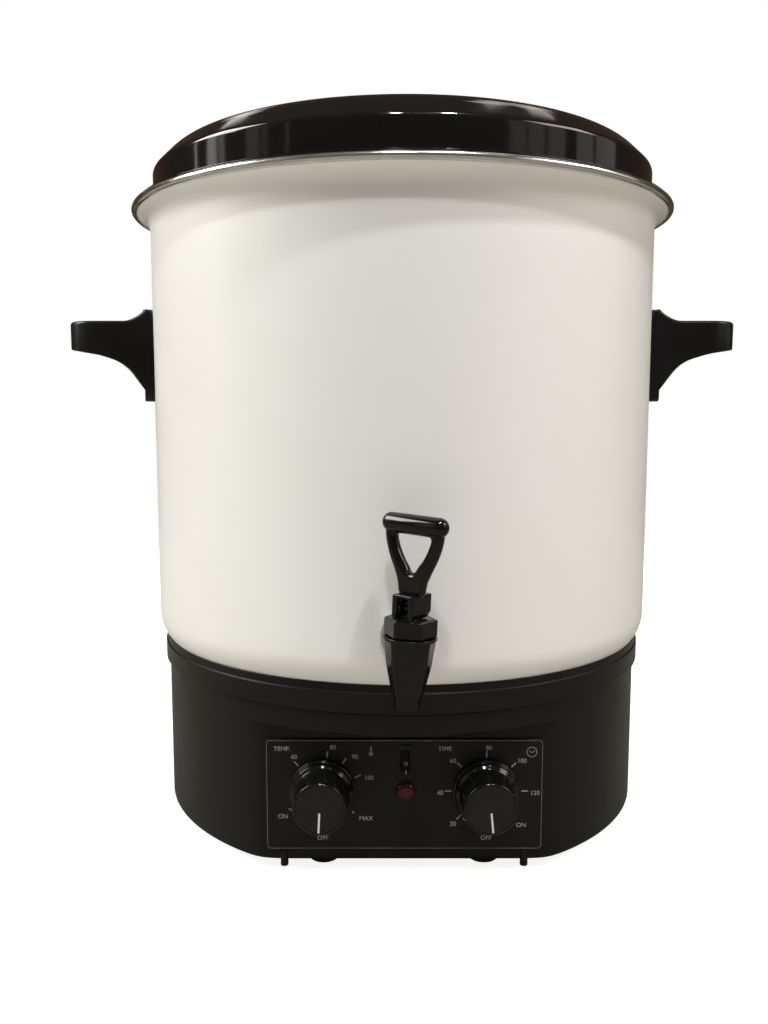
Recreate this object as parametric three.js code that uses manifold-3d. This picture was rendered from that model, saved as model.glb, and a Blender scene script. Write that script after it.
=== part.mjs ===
import * as THREE from 'three';
import { mergeVertices } from 'three/addons/utils/BufferGeometryUtils.js';
import Module from 'manifold-3d';

const wasm = await Module();
wasm.setup();

// Electric enamel preserving cooker with a draw-off tap, in millimetres, +Z up.
// The pot axis is the Z axis of every piece; the last group shifts the whole cooker
// back so that the origin is the middle of its footprint, on the floor.

// Clearances that every neighbour shares
const seatGap = 0.3;
const overrun = 20;

// Pot, a deep drawn enamelled vessel
const potRadius = 175;
const potWall = 1.6;
const potBottomHeight = 115;
const potCornerRadius = 25;
const rimTopHeight = 415.2;
const flareHeight = 12.5;

// Stainless bead round the pot rim
const trimOverhang = 12;
const trimSection = 2.35;
const trimWall = 0.5;
const trimLip = 1.05;
const beadGap = 0.35;

// Lid; heights step up from the rim, radii step in from the pot wall
const lidFlangeInset = 3;
const lidWall = 1.4;
const lidSkirtInset = 2.5;
const lidSkirtHeight = 18.8;
const lidLipDepth = 7;
const lidLipGap = 1.6;
const lidCrownRise = 21;
const lidDishDepth = 9;
const lidShoulderWidth = 26.5;
const lidCrownWidth = 8;
const lidFootFillet = 1.8;

// Lid knob
const lidKnobRadius = 21;
const lidKnobHeight = 30;
const lidScrewRadius = 2.5;
const lidScrewHeadRadius = 5;
const lidScrewHeadHeight = 2.6;
const lidScrewReach = 20;
const lidWasherRadius = 12;
const lidWasherThickness = 1;

// Jar rack that stands on the pot floor
const rackClearance = 15.4;
const rackSheet = 1.2;
const rackLegHeight = 20;
const rackLegRadius = 6;
const rackLegInset = 18;
const rackCentreHole = 20;
const rackInnerHole = 15;
const rackInnerShare = 0.3924;
const rackOuterHole = 15;
const rackOuterShare = 0.7089;

// Side handles; heights step down from the rim, lengths run out from the pot wall
const handleLength = 53.7;
const handleHalfWidth = 50;
const handleRimDrop = 67.2;
const handleFlangeHeight = 62.2;
const handleGripDrop = 8;
const handleEndHeight = 19.5;
const handleFlangeThickness = 6.2;
const handleFlangeCorner = 9;
const handleCornerShare = 0.3724;
const handleEdge = 2;
const handleArchShare = 0.6331;
const handleArchFoot = 0.3;
const handleWall = 4;
const handlePocketShare = 0.1676;
const handleScrewTurn = 9.8;
const handleScrewDrop = 30;
const handleScrewRadius = 2;
const handleScrewHeadRadius = 4.5;
const handleScrewHeadHeight = 2.4;
const handleScrewTip = 1;

// Base ring that carries the pot
const collarLipRise = 9.8;
const collarBandRise = 4.4;
const collarDrop = 8;
const collarInset = 3.5;
const collarSeatWidth = 10.5;

// Base housing
const baseInset = 2.5;
const baseWall = 3;
const baseBottom = 7;
const baseEdge = 1.5;
const baseFlatDepth = 24;
const browDepth = 14.5;
const baseThroat = 122;
const pegRadius = 2.4;
const pegProud = 1.5;
const pegInset = 10.9;
const pegTip = 3.2;

// Bottom plate, feet and their screws
const plateBottom = 8.5;
const plateSheet = 2;
const footRadius = 9.5;
const footRing = 1.2;
const frontFootX = 50;
const frontFootInset = 18;
const rearFootX = 100;
const rearFootY = 110;
const bossRadius = 6;
const bossTop = 24;
const ribThickness = 3;
const footScrewRadius = 2;
const footScrewHeadRadius = 4;
const footScrewHeadHeight = 2.4;
const footScrewRecess = 4;
const footScrewReach = 10;
const ventWidth = 5;
const ventLength = 26;
const ventCircle = 88;

// Control panel on the flat of the housing
const panelSideGap = 2.61;
const panelBottom = 13.9;
const panelTopGap = 8.7;
const panelCorner = 2;
const panelThickness = 1;
const knobX = 49.6;
const knobRise = 2.35;

// Control knobs and the shafts that turn them
const knobSkirtRadius = 20.4;
const knobHeight = 26.5;
const knobSkirtHeight = 7;
const knobBodyRadius = 16.6;
const knobFaceRadius = 15.6;
const knobBack = 0.7;
const knobBoreDepth = 17;
const shaftRadius = 3;
const bushRadius = 5;
const thermostatRadius = 18;
const thermostatDepth = 28;
const timerHalfSize = 21;
const timerDepth = 32;
const timerCorner = 4;
const shaftInset = 12;

// Rocker switch
const switchX = 0.5;
const switchRise = 18.8;
const bezelHalfWidth = 4.2;
const bezelHalfHeight = 10.2;
const bezelProud = 1.3;
const switchHalfWidth = 3.5;
const switchHalfHeight = 9.3;
const switchDepth = 21;
const rockerHalfWidth = 2.6;
const rockerHalfHeight = 7.6;
const rockerDepth = 3.4;
const rockerDip = 1.3;
const rockerTilt = 10;

// Indicator lamp
const lampX = 0.9;
const lampRise = 0.3;
const lampRadius = 5.6;
const lampDome = 3.4;
const lampShankRadius = 4.2;
const lampShankDepth = 9;
const lampHolderRadius = 6.5;
const lampHolderDepth = 17;

// Heater under the pot
const heaterCircle = 95;
const heaterTube = 4;
const heaterTurn = 165;
const heaterBend = 6;
const heaterLegDepth = 22;
const reflectorRadius = 113;
const reflectorSheet = 1;
const reflectorRim = 3;
const cutoutRadius = 9;
const cutoutHeight = 6;
const cutoutX = 42;
const cutoutY = 18;

// Centre bolt that ties pot and base together
const tieRadius = 3;
const tiePadRadius = 14;
const tiePadHeight = 2.4;
const tieNutRadius = 6.4;
const tieNutHeight = 4.8;
const tieTail = 1.2;

// Sensing bulb, its capillary and the mains terminals
const bulbRadius = 3;
const bulbLength = 60;
const bulbStart = -44;
const capillaryRadius = 1;
const capillaryStub = 9;
const terminalHalfWidth = 16;
const terminalDepth = 14;
const terminalHeight = 12;
const terminalY = 116;
const glandZ = 35;
const glandRadius = 7.5;
const glandBore = 4;
const glandFlangeRadius = 11;
const glandFlangeHeight = 4;
const glandNose = 6;
const glandTail = 12;
const glandNutRadius = 11.5;
const glandNutHeight = 5;

// Tap; heights are measured from the shank axis
const tapRise = 40;
const tapSide = 1.3;
const tapStandoff = 28;
const tapLean = 2.4;
const barrelTopRadius = 14.4;
const barrelMidRadius = 12.3;
const barrelLowRadius = 8.7;
const barrelTop = 6.4;
const barrelLow = -25.4;
const nozzleRadius = 7.3;
const nozzleTip = -32.6;
const chamberRadius = 8.6;
const chamberFloor = -9;
const outletRadius = 5;
const neckRadius = 10.2;
const neckTop = 11.7;
const shankRadius = 6.2;
const shankBore = 4.2;
const shankTail = 15;
const shankFlangeRadius = 13.5;
const shankFlangeThickness = 2.8;
const gasketRadius = 16;
const gasketThickness = 2.6;
const innerGasketRadius = 14.5;
const lockNutRadius = 16;
const lockNutThickness = 6;
const bonnetRadius = 14.5;
const bonnetTop = 16.7;
const bonnetRoof = 3.2;
const bonnetTurn = 22;
const stemRadius = 2.4;
const cupRadius = 7.2;
const cupHeight = 5.5;
const springRadius = 4.6;
const springWire = 0.55;
const springCurls = 6;

// Tap lever, built upright about the stem axis
const leverTurn = 38;
const leverFootWidth = 13.6;
const leverFootDepth = 17.4;
const leverFootHeight = 12.5;
const leverSlotWidth = 7;
const leverPinHeight = 7;
const leverPinRadius = 1.2;
const leverSlotTop = 10.6;
const stemHeadRadius = 2.7;
const leverBarLength = 41.34;
const leverBarRadius = 5.4;
const leverBarHeight = 50.2;
const leverLegThickness = 7;
const leverNeckHalf = 7.4;
const leverShoulderHalf = 18.2;
const leverWindowHalf = 11.7;
const leverWindowLow = 23.7;
const leverWindowTop = 43.2;
const leverWindowRound = 3.2;
const leverBevel = 1.6;

// Facets round large forms, round knobs, round rods and round screws
const wideSteps = 40;
const knobSteps = 20;
const rodSteps = 12;
const screwSteps = 8;

// Mesh helpers
function closed(geometry) {
  const bare = new THREE.BufferGeometry();
  bare.setAttribute('position', geometry.getAttribute('position').clone());
  if (geometry.index) bare.setIndex(geometry.index.clone());
  const merged = mergeVertices(bare);
  const corners = merged.index.array;
  const spots = merged.getAttribute('position').array;
  const kept = [];
  let volume = 0;
  for (let i = 0; i < corners.length; i += 3) {
    const [a, b, c] = [corners[i], corners[i + 1], corners[i + 2]];
    if (a === b || b === c || c === a) continue;
    kept.push(a, b, c);
    const p = new THREE.Vector3().fromArray(spots, a * 3);
    const q = new THREE.Vector3().fromArray(spots, b * 3);
    const r = new THREE.Vector3().fromArray(spots, c * 3);
    volume += p.dot(q.cross(r));
  }
  if (volume < 0) {
    for (let i = 0; i < kept.length; i += 3) {
      [kept[i + 1], kept[i + 2]] = [kept[i + 2], kept[i + 1]];
    }
  }
  merged.setIndex(kept);
  return merged;
}

function solid(geometry) {
  const shape = closed(geometry);
  const vertProperties = new Float32Array(shape.getAttribute('position').array);
  const triVerts = new Uint32Array(shape.index.array);
  return new wasm.Manifold(new wasm.Mesh({ numProp: 3, vertProperties, triVerts }));
}

function geometryOf(body) {
  const mesh = body.getMesh();
  const geometry = new THREE.BufferGeometry();
  geometry.setAttribute('position', new THREE.BufferAttribute(mesh.vertProperties, 3));
  geometry.setIndex(new THREE.BufferAttribute(mesh.triVerts, 1));
  return geometry;
}

function cut(body, ...tools) {
  return tools.reduce((rest, tool) => rest.subtract(tool), body);
}

function join(first, ...others) {
  return others.reduce((whole, other) => whole.add(other), first);
}

// Points of an elliptical arc, angles in degrees, both ends included
function arc(x, y, halfWidth, halfHeight, from, to, steps) {
  const points = [];
  for (let i = 0; i <= steps; i += 1) {
    const angle = THREE.MathUtils.degToRad(from + (to - from) * i / steps);
    points.push([x + halfWidth * Math.cos(angle), y + halfHeight * Math.sin(angle)]);
  }
  return points;
}

// A profile of radius and height turned about +Z; one off the axis closes on itself
function turned(profile, steps) {
  const points = profile.map(([radius, height]) => new THREE.Vector2(radius, height));
  const [first, last] = [points[0], points[points.length - 1]];
  if (first.x > 0 || last.x > 0) points.push(first.clone());
  return new THREE.LatheGeometry(points, steps).rotateX(Math.PI / 2);
}

function rod(radius, low, high, steps = rodSteps) {
  const geometry = new THREE.CylinderGeometry(radius, radius, high - low, steps);
  return geometry.rotateX(Math.PI / 2).translate(0, 0, (low + high) / 2);
}

function tube(radius, bore, low, high, steps = rodSteps) {
  return turned([[bore, low], [radius, low], [radius, high], [bore, high]], steps);
}

// Six-sided nut with a round bore
function hexNut(radius, bore, low, high) {
  const hole = solid(rod(bore, low - overrun, high + overrun));
  return geometryOf(solid(rod(radius, low, high, 6)).subtract(hole));
}

function block(xLow, xHigh, yLow, yHigh, zLow, zHigh) {
  const geometry = new THREE.BoxGeometry(xHigh - xLow, yHigh - yLow, zHigh - zLow);
  return geometry.translate((xLow + xHigh) / 2, (yLow + yHigh) / 2, (zLow + zHigh) / 2);
}

function outline(points) {
  return new THREE.Shape(points.map(([x, y]) => new THREE.Vector2(x, y)));
}

function slab(shape, low, high) {
  const settings = { depth: high - low, bevelEnabled: false, curveSegments: 6 };
  return new THREE.ExtrudeGeometry(shape, settings).translate(0, 0, low);
}

function roundedRectangle(halfWidth, halfHeight, corner) {
  const [x, y] = [halfWidth - corner, halfHeight - corner];
  return outline([
    ...arc(x, y, corner, corner, 0, 90, 4), ...arc(-x, y, corner, corner, 90, 180, 4),
    ...arc(-x, -y, corner, corner, 180, 270, 4), ...arc(x, -y, corner, corner, 270, 360, 4),
  ]);
}

// Turns a form that stands on +Z so that its height points to the front, -Y
function facingFront(geometry) {
  return geometry.rotateX(Math.PI / 2);
}

function atAzimuth(geometry, degrees) {
  return geometry.rotateZ(THREE.MathUtils.degToRad(degrees));
}

// Finishes
const enamelWhite = [0xe8e6dc, 0.25, 0];
const enamelBlack = [0x151413, 0.12, 0];
const brightSteel = [0xc9c9c6, 0.22, 1];
const dullSteel = [0x8f908e, 0.45, 1];
const blackResin = [0x1b1b1a, 0.38, 0];
const glossResin = [0x0e0e0e, 0.14, 0];
const panelBlack = [0x1e1e1e, 0.5, 0];
const paleSilicone = [0xb9bab6, 0.6, 0];
const blackRubber = [0x161616, 0.8, 0];
const lampRed = [0x6e1e1e, 0.3, 0];
const innerResin = [0x4a4a46, 0.6, 0];
const brassYellow = [0xb08d4a, 0.35, 1];
const blackSteel = [0x191919, 0.35, 1];

function piece(name, shape, [color, roughness, metalness]) {
  const geometry = shape instanceof wasm.Manifold ? geometryOf(shape) : closed(shape);
  const material = new THREE.MeshStandardMaterial({ color, roughness, metalness });
  const mesh = new THREE.Mesh(geometry, material);
  mesh.name = name;
  return mesh;
}

// Places that more than one piece reads
const trimReach = potRadius + trimOverhang;
const beadRadius = trimSection - trimWall - beadGap;
const beadReach = trimReach - trimSection;
const beadHeight = rimTopHeight - trimSection;
const flareStart = beadHeight - beadRadius - flareHeight;
const flareReach = beadReach - potRadius;
const potInside = potRadius - potWall;
const potFloor = potBottomHeight + potWall;
const cornerCircle = potRadius - potCornerRadius;
const cornerHeight = potBottomHeight + potCornerRadius;
const lidFlangeReach = trimReach - lidFlangeInset;
const lidSkirtRadius = potRadius - lidSkirtInset;
const lidShoulderRadius = lidSkirtRadius - lidShoulderWidth;
const lidCrownRadius = lidShoulderRadius - lidCrownWidth;
const lidSkirtTop = rimTopHeight + lidSkirtHeight;
const lidCrownHeight = lidSkirtTop + lidCrownRise;
const lidCentreHeight = lidCrownHeight - lidDishDepth;
const rackRadius = potInside - rackClearance;
const handleSkin = potRadius + seatGap;
const handleReach = handleSkin + handleLength;
const handleFlangeTop = rimTopHeight - handleRimDrop;
const handleFlangeBottom = handleFlangeTop - handleFlangeHeight;
const handleTop = handleFlangeTop - handleGripDrop;
const handleScrewHeight = handleFlangeTop - handleScrewDrop;
const handleScrewReach = handleLength * handlePocketShare + handleScrewTip;
const collarTop = potBottomHeight + collarLipRise;
const collarBandTop = potBottomHeight + collarBandRise;
const collarBottom = potBottomHeight - collarDrop;
const collarRadius = potRadius - collarInset;
const collarSeat = cornerCircle + collarSeatWidth;
const baseRadius = collarRadius - baseInset;
const baseFlat = baseRadius - baseFlatDepth;
const browHeight = collarBottom - browDepth;
const flatHalfWidth = Math.sqrt(baseRadius ** 2 - baseFlat ** 2);
const panelHalfWidth = flatHalfWidth - panelSideGap;
const panelTop = browHeight - panelTopGap;
const knobZ = (panelBottom + panelTop) / 2 + knobRise;
const switchZ = knobZ + switchRise;
const lampZ = knobZ + lampRise;
const tapHeight = potBottomHeight + tapRise;
const tapReach = potRadius + tapStandoff;
const shankEnd = potRadius - shankTail;
const housingTop = collarBottom - seatGap;
const wallInside = baseFlat - baseWall;
const panelBack = baseFlat + seatGap;
const panelFront = panelBack + panelThickness;
const plateTop = plateBottom + plateSheet;
const heaterHeight = potBottomHeight - seatGap - heaterTube;
const reflectorTop = heaterHeight - heaterTube - seatGap;
const frontFootY = frontFootInset - baseFlat;
const feet = [
  ['front_left', -frontFootX, frontFootY], ['front_right', frontFootX, frontFootY],
  ['rear_left', -rearFootX, rearFootY], ['rear_right', rearFootX, rearFootY],
];
const handleScrews = [
  ['left_front', 180 + handleScrewTurn], ['left_rear', 180 - handleScrewTurn],
  ['right_front', -handleScrewTurn], ['right_rear', handleScrewTurn],
];

function radialRod(radius, low, high, height, degrees) {
  const geometry = rod(radius, low, high).rotateY(Math.PI / 2).translate(0, 0, height);
  return atAzimuth(geometry, degrees);
}

// Pot: floor, rounded corner, straight wall and a rim rolled out into a bead
function potShell() {
  const inner = potCornerRadius - potWall;
  const wall = solid(turned([
    [0, potBottomHeight],
    ...arc(cornerCircle, cornerHeight, potCornerRadius, potCornerRadius, -90, 0, 3),
    ...arc(beadReach, flareStart, flareReach, flareHeight, 180, 96, 4),
    ...arc(beadReach, beadHeight, beadRadius, beadRadius, -90, 150, 3),
    ...arc(beadReach, flareStart, flareReach + potWall, flareHeight + potWall, 100, 180, 3),
    ...arc(cornerCircle, cornerHeight, inner, inner, 0, -90, 3),
    [0, potFloor],
  ], wideSteps));
  const tapHole = solid(facingFront(rod(shankRadius + seatGap, potInside - overrun, potRadius + overrun))
    .translate(tapSide, 0, tapHeight));
  const screwHoles = handleScrews.map(([, turn]) => solid(radialRod(
    handleScrewRadius + seatGap, potInside - overrun, potRadius + overrun, handleScrewHeight, turn)));
  return piece('pot_shell', cut(wall, tapHole, ...screwHoles), enamelWhite);
}

function rimTrim() {
  const hollow = trimSection - trimWall;
  const lip = beadReach - trimLip;
  return piece('rim_trim', turned([
    [lip, beadHeight - trimSection],
    ...arc(beadReach, beadHeight, trimSection, trimSection, -90, 90, 4),
    [lip, beadHeight + trimSection], [lip, beadHeight + hollow],
    ...arc(beadReach, beadHeight, hollow, hollow, 90, -90, 3),
    [lip, beadHeight - hollow],
  ], wideSteps), brightSteel);
}

// Lid: locating lip, flange on the bead, upright skirt, sloped shoulder and a dished top
function lidProfile(inset) {
  const shoulderDrop = (lidCrownHeight - lidSkirtTop) / 4;
  const crownFall = lidCrownHeight - lidCentreHeight;
  const dishShares = [[0.92, 0.09], [0.8, 0.66], [0.6, 1]];
  return [
    [lidSkirtRadius - inset, lidSkirtTop],
    [lidSkirtRadius - shoulderDrop / 5 - inset, lidSkirtTop + shoulderDrop / 2],
    [lidSkirtRadius - shoulderDrop / 2 - inset, lidSkirtTop + shoulderDrop - inset / 2],
    [lidShoulderRadius, lidCrownHeight - shoulderDrop / 3 - inset],
    [(lidShoulderRadius + lidCrownRadius) / 2, lidCrownHeight - shoulderDrop / 14 - inset],
    [lidCrownRadius, lidCrownHeight - inset],
    ...dishShares.map(([out, down]) => [lidCrownRadius * out, lidCrownHeight - crownFall * down - inset]),
    [0, lidCentreHeight - inset],
  ];
}

function lidShell() {
  const flangeBottom = rimTopHeight + seatGap;
  const flangeTop = flangeBottom + lidWall * 0.8;
  const lipRadius = potInside - lidLipGap;
  const lipBottom = flangeBottom - lidLipDepth;
  const shell = solid(turned([
    [lipRadius - lidWall, lipBottom], [lipRadius, lipBottom], [lipRadius, flangeBottom],
    [lidFlangeReach, flangeBottom], [lidFlangeReach, flangeTop],
    ...arc(lidSkirtRadius + lidFootFillet, flangeTop + lidFootFillet, lidFootFillet, lidFootFillet, 270, 180, 2),
    ...lidProfile(0),
    ...lidProfile(lidWall).reverse().filter((point, i) => i !== 3 && i !== 5),
    [lipRadius - lidWall, flangeBottom],
  ], wideSteps));
  const hole = solid(rod(lidScrewRadius + seatGap, lidCentreHeight - overrun, lidCentreHeight + overrun));
  return piece('lid_shell', shell.subtract(hole), enamelBlack);
}

function lidKnobPieces() {
  const foot = lidCentreHeight + seatGap;
  const knobShares = [
    [0.74, 0], [0.74, 0.06], [0.52, 0.16], [0.44, 0.3], [0.46, 0.44], [0.66, 0.55],
    [0.93, 0.62], [1, 0.7], [0.97, 0.82], [0.82, 0.93], [0.5, 0.99], [0, 1],
  ];
  const bore = lidScrewRadius + seatGap;
  const boreTop = foot + lidScrewReach + seatGap;
  const knob = turned([
    [0, boreTop], [bore, boreTop], [bore, foot],
    ...knobShares.map(([out, up]) => [lidKnobRadius * out, foot + lidKnobHeight * up]),
  ], knobSteps);
  const underside = lidCentreHeight - lidWall;
  const washerBottom = underside - seatGap - lidWasherThickness;
  const headTop = washerBottom - seatGap;
  const screw = turned([
    [0, headTop - lidScrewHeadHeight], [lidScrewHeadRadius, headTop - lidScrewHeadHeight],
    [lidScrewHeadRadius, headTop], [lidScrewRadius, headTop],
    [lidScrewRadius, foot + lidScrewReach], [0, foot + lidScrewReach],
  ], screwSteps);
  return [
    piece('lid_knob', knob, glossResin),
    piece('lid_knob_washer', tube(lidWasherRadius, bore, washerBottom, underside - seatGap, rodSteps), dullSteel),
    piece('lid_knob_screw', screw, brightSteel),
  ];
}

function holeRing(count, circle, radius, low, high) {
  const holes = [];
  for (let i = 0; i < count; i += 1) {
    holes.push(solid(atAzimuth(rod(radius, low, high, 10).translate(circle, 0, 0), (i + 0.5) * 360 / count)));
  }
  return holes;
}

// Rack: a pierced disc on four round legs
function jarRack() {
  const foot = potFloor + seatGap;
  const sheetBottom = foot + rackLegHeight;
  const sheetTop = sheetBottom + rackSheet;
  const disc = solid(rod(rackRadius, sheetBottom, sheetTop, wideSteps));
  const legs = holeRing(4, rackRadius - rackLegInset, rackLegRadius, foot, sheetBottom + rackSheet / 2);
  const holes = [
    solid(rod(rackCentreHole, sheetBottom - overrun, sheetTop + overrun)),
    ...holeRing(6, rackRadius * rackInnerShare, rackInnerHole, sheetBottom - rackSheet, sheetTop + rackSheet),
    ...holeRing(6, rackRadius * rackOuterShare, rackOuterHole, sheetBottom - rackSheet, sheetTop + rackSheet),
  ];
  return piece('jar_rack', join(cut(disc, ...holes), ...legs), brightSteel);
}

// Handle: curved flange, a grip with a hollow underside and an arched root
function handleSolid() {
  const middle = (handleFlangeTop + handleFlangeBottom) / 2;
  const skin = handleSkin;
  const corner = handleLength * handleCornerShare;
  const archReach = handleLength * handleArchShare;
  const bend = solid(tube(skin + handleFlangeThickness, skin, handleFlangeBottom, handleFlangeTop, wideSteps));
  const window = solid(slab(roundedRectangle(handleFlangeHeight / 2, handleHalfWidth, handleFlangeCorner), 0, handleReach)
    .rotateY(Math.PI / 2).translate(0, 0, middle));
  const root = potRadius / 2;
  const gripBottom = handleTop - handleEndHeight;
  const archRoot = skin + handleArchFoot;
  const rise = handleFlangeTop - handleTop;
  const side = outline([
    [root, handleFlangeTop], [skin - handleEdge, handleFlangeTop],
    ...arc(skin + rise * 1.5, handleFlangeTop, rise * 1.3, rise, 200, 270, 4),
    ...arc(handleReach - handleEdge, handleTop - handleEdge, handleEdge, handleEdge, 90, 0, 3),
    ...arc(handleReach - handleEdge, gripBottom + handleEdge, handleEdge, handleEdge, 0, -70, 3),
    ...arc(archRoot + archReach, handleFlangeBottom, archReach, gripBottom
      - handleFlangeBottom - handleEdge, 90, 180, 7),
    [root, handleFlangeBottom],
  ]);
  const cheeks = solid(slab(side, -handleHalfWidth, handleHalfWidth).rotateX(Math.PI / 2));
  const plan = outline([
    [root, -handleHalfWidth],
    ...arc(handleReach - corner, corner - handleHalfWidth, corner, corner, -90, 0, 5),
    ...arc(handleReach - corner, handleHalfWidth - corner, corner, corner, 0, 90, 5),
    [root, handleHalfWidth],
  ]);
  const grip = cheeks.intersect(solid(slab(plan, handleFlangeBottom - overrun, handleFlangeTop + overrun)));
  const pocketCorner = corner - handleWall;
  const pocketHalf = handleHalfWidth - handleWall;
  const pocketRoot = skin + handleLength * handlePocketShare;
  const pocket = solid(slab(outline([
    [pocketRoot, -pocketHalf],
    ...arc(handleReach - corner, pocketCorner - pocketHalf, pocketCorner, pocketCorner, -90, 0, 4),
    ...arc(handleReach - corner, pocketHalf - pocketCorner, pocketCorner, pocketCorner, 0, 90, 4),
    [pocketRoot, pocketHalf],
  ]), handleFlangeBottom, handleTop - handleWall));
  const pot = solid(rod(skin, handleFlangeBottom - overrun, handleFlangeTop + overrun, wideSteps));
  const screwHoles = [-handleScrewTurn, handleScrewTurn].map((turn) => solid(radialRod(
    handleScrewRadius + seatGap, potRadius - overrun, skin + handleScrewReach + seatGap,
    handleScrewHeight, turn)));
  return cut(join(grip.subtract(pocket), bend.intersect(window)), pot, ...screwHoles);
}

function handlePieces() {
  const right = handleSolid();
  const left = piece('handle_left', right, blackResin);
  left.rotation.z = Math.PI;
  return [left, piece('handle_right', right, blackResin), ...handleScrews.map(handleScrew)];
}

// Pan head inside the pot, shank out through the wall into the handle
function handleScrew([place, turn]) {
  const faceted = Math.cos(Math.PI / wideSteps);
  const headFace = potInside * faceted - seatGap;
  const tip = handleSkin + handleScrewReach;
  const screw = piece(`handle_screw_${place}`, turned([
    [0, headFace - handleScrewHeadHeight], [handleScrewHeadRadius * 0.7, headFace - handleScrewHeadHeight],
    [handleScrewHeadRadius, headFace - handleScrewHeadHeight / 2], [handleScrewHeadRadius, headFace],
    [handleScrewRadius, headFace], [handleScrewRadius, tip], [0, tip],
  ], screwSteps), brightSteel);
  screw.geometry.rotateY(Math.PI / 2);
  screw.position.z = handleScrewHeight;
  screw.rotation.z = THREE.MathUtils.degToRad(turn);
  return screw;
}

// Ring that cups the rounded pot corner; a fine bead marks the top of its band
function baseCollar() {
  const cup = potCornerRadius + seatGap;
  const lipDrop = THREE.MathUtils.radToDeg(Math.asin((cornerHeight - collarTop) / cup));
  const seatDrop = THREE.MathUtils.radToDeg(Math.acos((collarSeat - cornerCircle) / cup));
  const bead = seatGap * 1.5;
  return piece('base_collar', turned([
    [collarSeat, collarBottom], [collarRadius - bead, collarBottom], [collarRadius, collarBottom + bead],
    [collarRadius, collarBandTop], [collarRadius - bead, collarBandTop + bead],
    ...arc(cornerCircle, cornerHeight, cup, cup, -lipDrop, -seatDrop, 4),
  ], wideSteps), blackResin);
}

function holesThroughFront(reach) {
  const front = (geometry, x, z) => solid(facingFront(geometry).translate(x, 0, z));
  const bushHole = bushRadius + seatGap;
  return [
    front(rod(bushHole, 0, reach), -knobX, knobZ), front(rod(bushHole, 0, reach), knobX, knobZ),
    front(rod(lampShankRadius + seatGap, 0, reach), lampX, lampZ),
    solid(block(switchX - switchHalfWidth - seatGap, switchX + switchHalfWidth + seatGap, -reach, 0,
      switchZ - switchHalfHeight - seatGap, switchZ + switchHalfHeight + seatGap)),
  ];
}

// Housing: a round shell cut flat at the front below an overhanging brow
function baseHousing() {
  const edge = baseEdge;
  const outer = solid(turned([
    [0, baseBottom], ...arc(baseRadius - edge, baseBottom + edge, edge, edge, -90, 0, 2),
    [baseRadius, housingTop], [0, housingTop],
  ], wideSteps));
  const reach = baseRadius + overrun;
  const front = solid(block(-reach, reach, -reach, -baseFlat, -overrun, browHeight));
  const hollowRadius = baseRadius - baseWall;
  const mouthRadius = hollowRadius - seatGap * 7;
  const hollow = solid(turned([
    [0, -overrun], [mouthRadius, -overrun], [mouthRadius, baseBottom + edge / 2],
    [hollowRadius, baseBottom + edge], [hollowRadius, housingTop - baseWall], [0, housingTop - baseWall],
  ], wideSteps)).subtract(solid(block(-reach, reach, -reach, -wallInside, -reach, browHeight + baseWall)));
  const throat = solid(rod(baseThroat, housingTop - overrun, housingTop + overrun, wideSteps));
  const glandHole = solid(rod(glandRadius + seatGap, 0, reach).rotateX(-Math.PI / 2).translate(0, 0, glandZ));
  const bosses = feet.map(([, x, y]) => screwBoss(x, y));
  const pegTop = panelBottom - seatGap;
  const pegX = panelHalfWidth - pegInset;
  const pegRound = pegRadius / 4;
  const pegs = [-pegX, pegX].map((x) => solid(turned([
    [0, pegTip], [pegRadius - pegRound, pegTip], [pegRadius, pegTip + pegRound],
    [pegRadius, pegTop - pegRadius / 2], [pegRadius / 2, pegTop], [0, pegTop],
  ], rodSteps).translate(x, pegRadius - pegProud - baseFlat, 0)));
  const shell = cut(outer, front, hollow, throat, glandHole);
  const whole = join(shell, ...bosses, ...pegs);
  return piece('base_housing', cut(whole, ...holesThroughFront(reach), ...bossBores()), blackResin);
}

// Boss that takes a foot screw, with a rib out to the housing wall
function screwBoss(x, y) {
  const low = plateTop + seatGap;
  const boss = solid(rod(bossRadius, low, bossTop).translate(x, y, 0));
  const atFront = y < 0;
  const out = atFront ? wallInside + y + baseWall / 2 : baseRadius - baseWall / 2 - Math.hypot(x, y);
  const turn = atFront ? -90 : THREE.MathUtils.radToDeg(Math.atan2(y, x));
  const rib = atAzimuth(block(0, out, -ribThickness / 2, ribThickness / 2, low, bossTop), turn);
  return boss.add(solid(rib.translate(x, y, 0)));
}

function bossBores() {
  const top = plateTop + footScrewReach + seatGap * 2;
  return feet.map(([, x, y]) => solid(rod(footScrewRadius + seatGap, 0, top).translate(x, y, 0)));
}

function bottomPlate() {
  const edge = baseRadius - baseWall - seatGap * 8;
  const disc = solid(rod(edge, plateBottom, plateTop, wideSteps));
  const pegBack = baseFlat + pegProud - pegRadius * 2;
  const frontEdge = Math.min(wallInside, pegBack) - seatGap;
  const front = solid(block(-potRadius, potRadius, -potRadius, -frontEdge, -overrun, overrun));
  const bolt = solid(rod(tieRadius + seatGap, -overrun, overrun));
  const screws = feet.map(([, x, y]) => solid(rod(footScrewRadius + seatGap, -overrun, overrun).translate(x, y, 0)));
  const vents = [];
  for (let i = 0; i < 8; i += 1) {
    const slot = block(-ventWidth / 2, ventWidth / 2, -ventLength / 2, ventLength / 2, 0, overrun);
    vents.push(solid(atAzimuth(slot.translate(0, ventCircle, 0), i * 45)));
  }
  return piece('bottom_plate', cut(disc, front, bolt, ...screws, ...vents), dullSteel);
}

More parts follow.
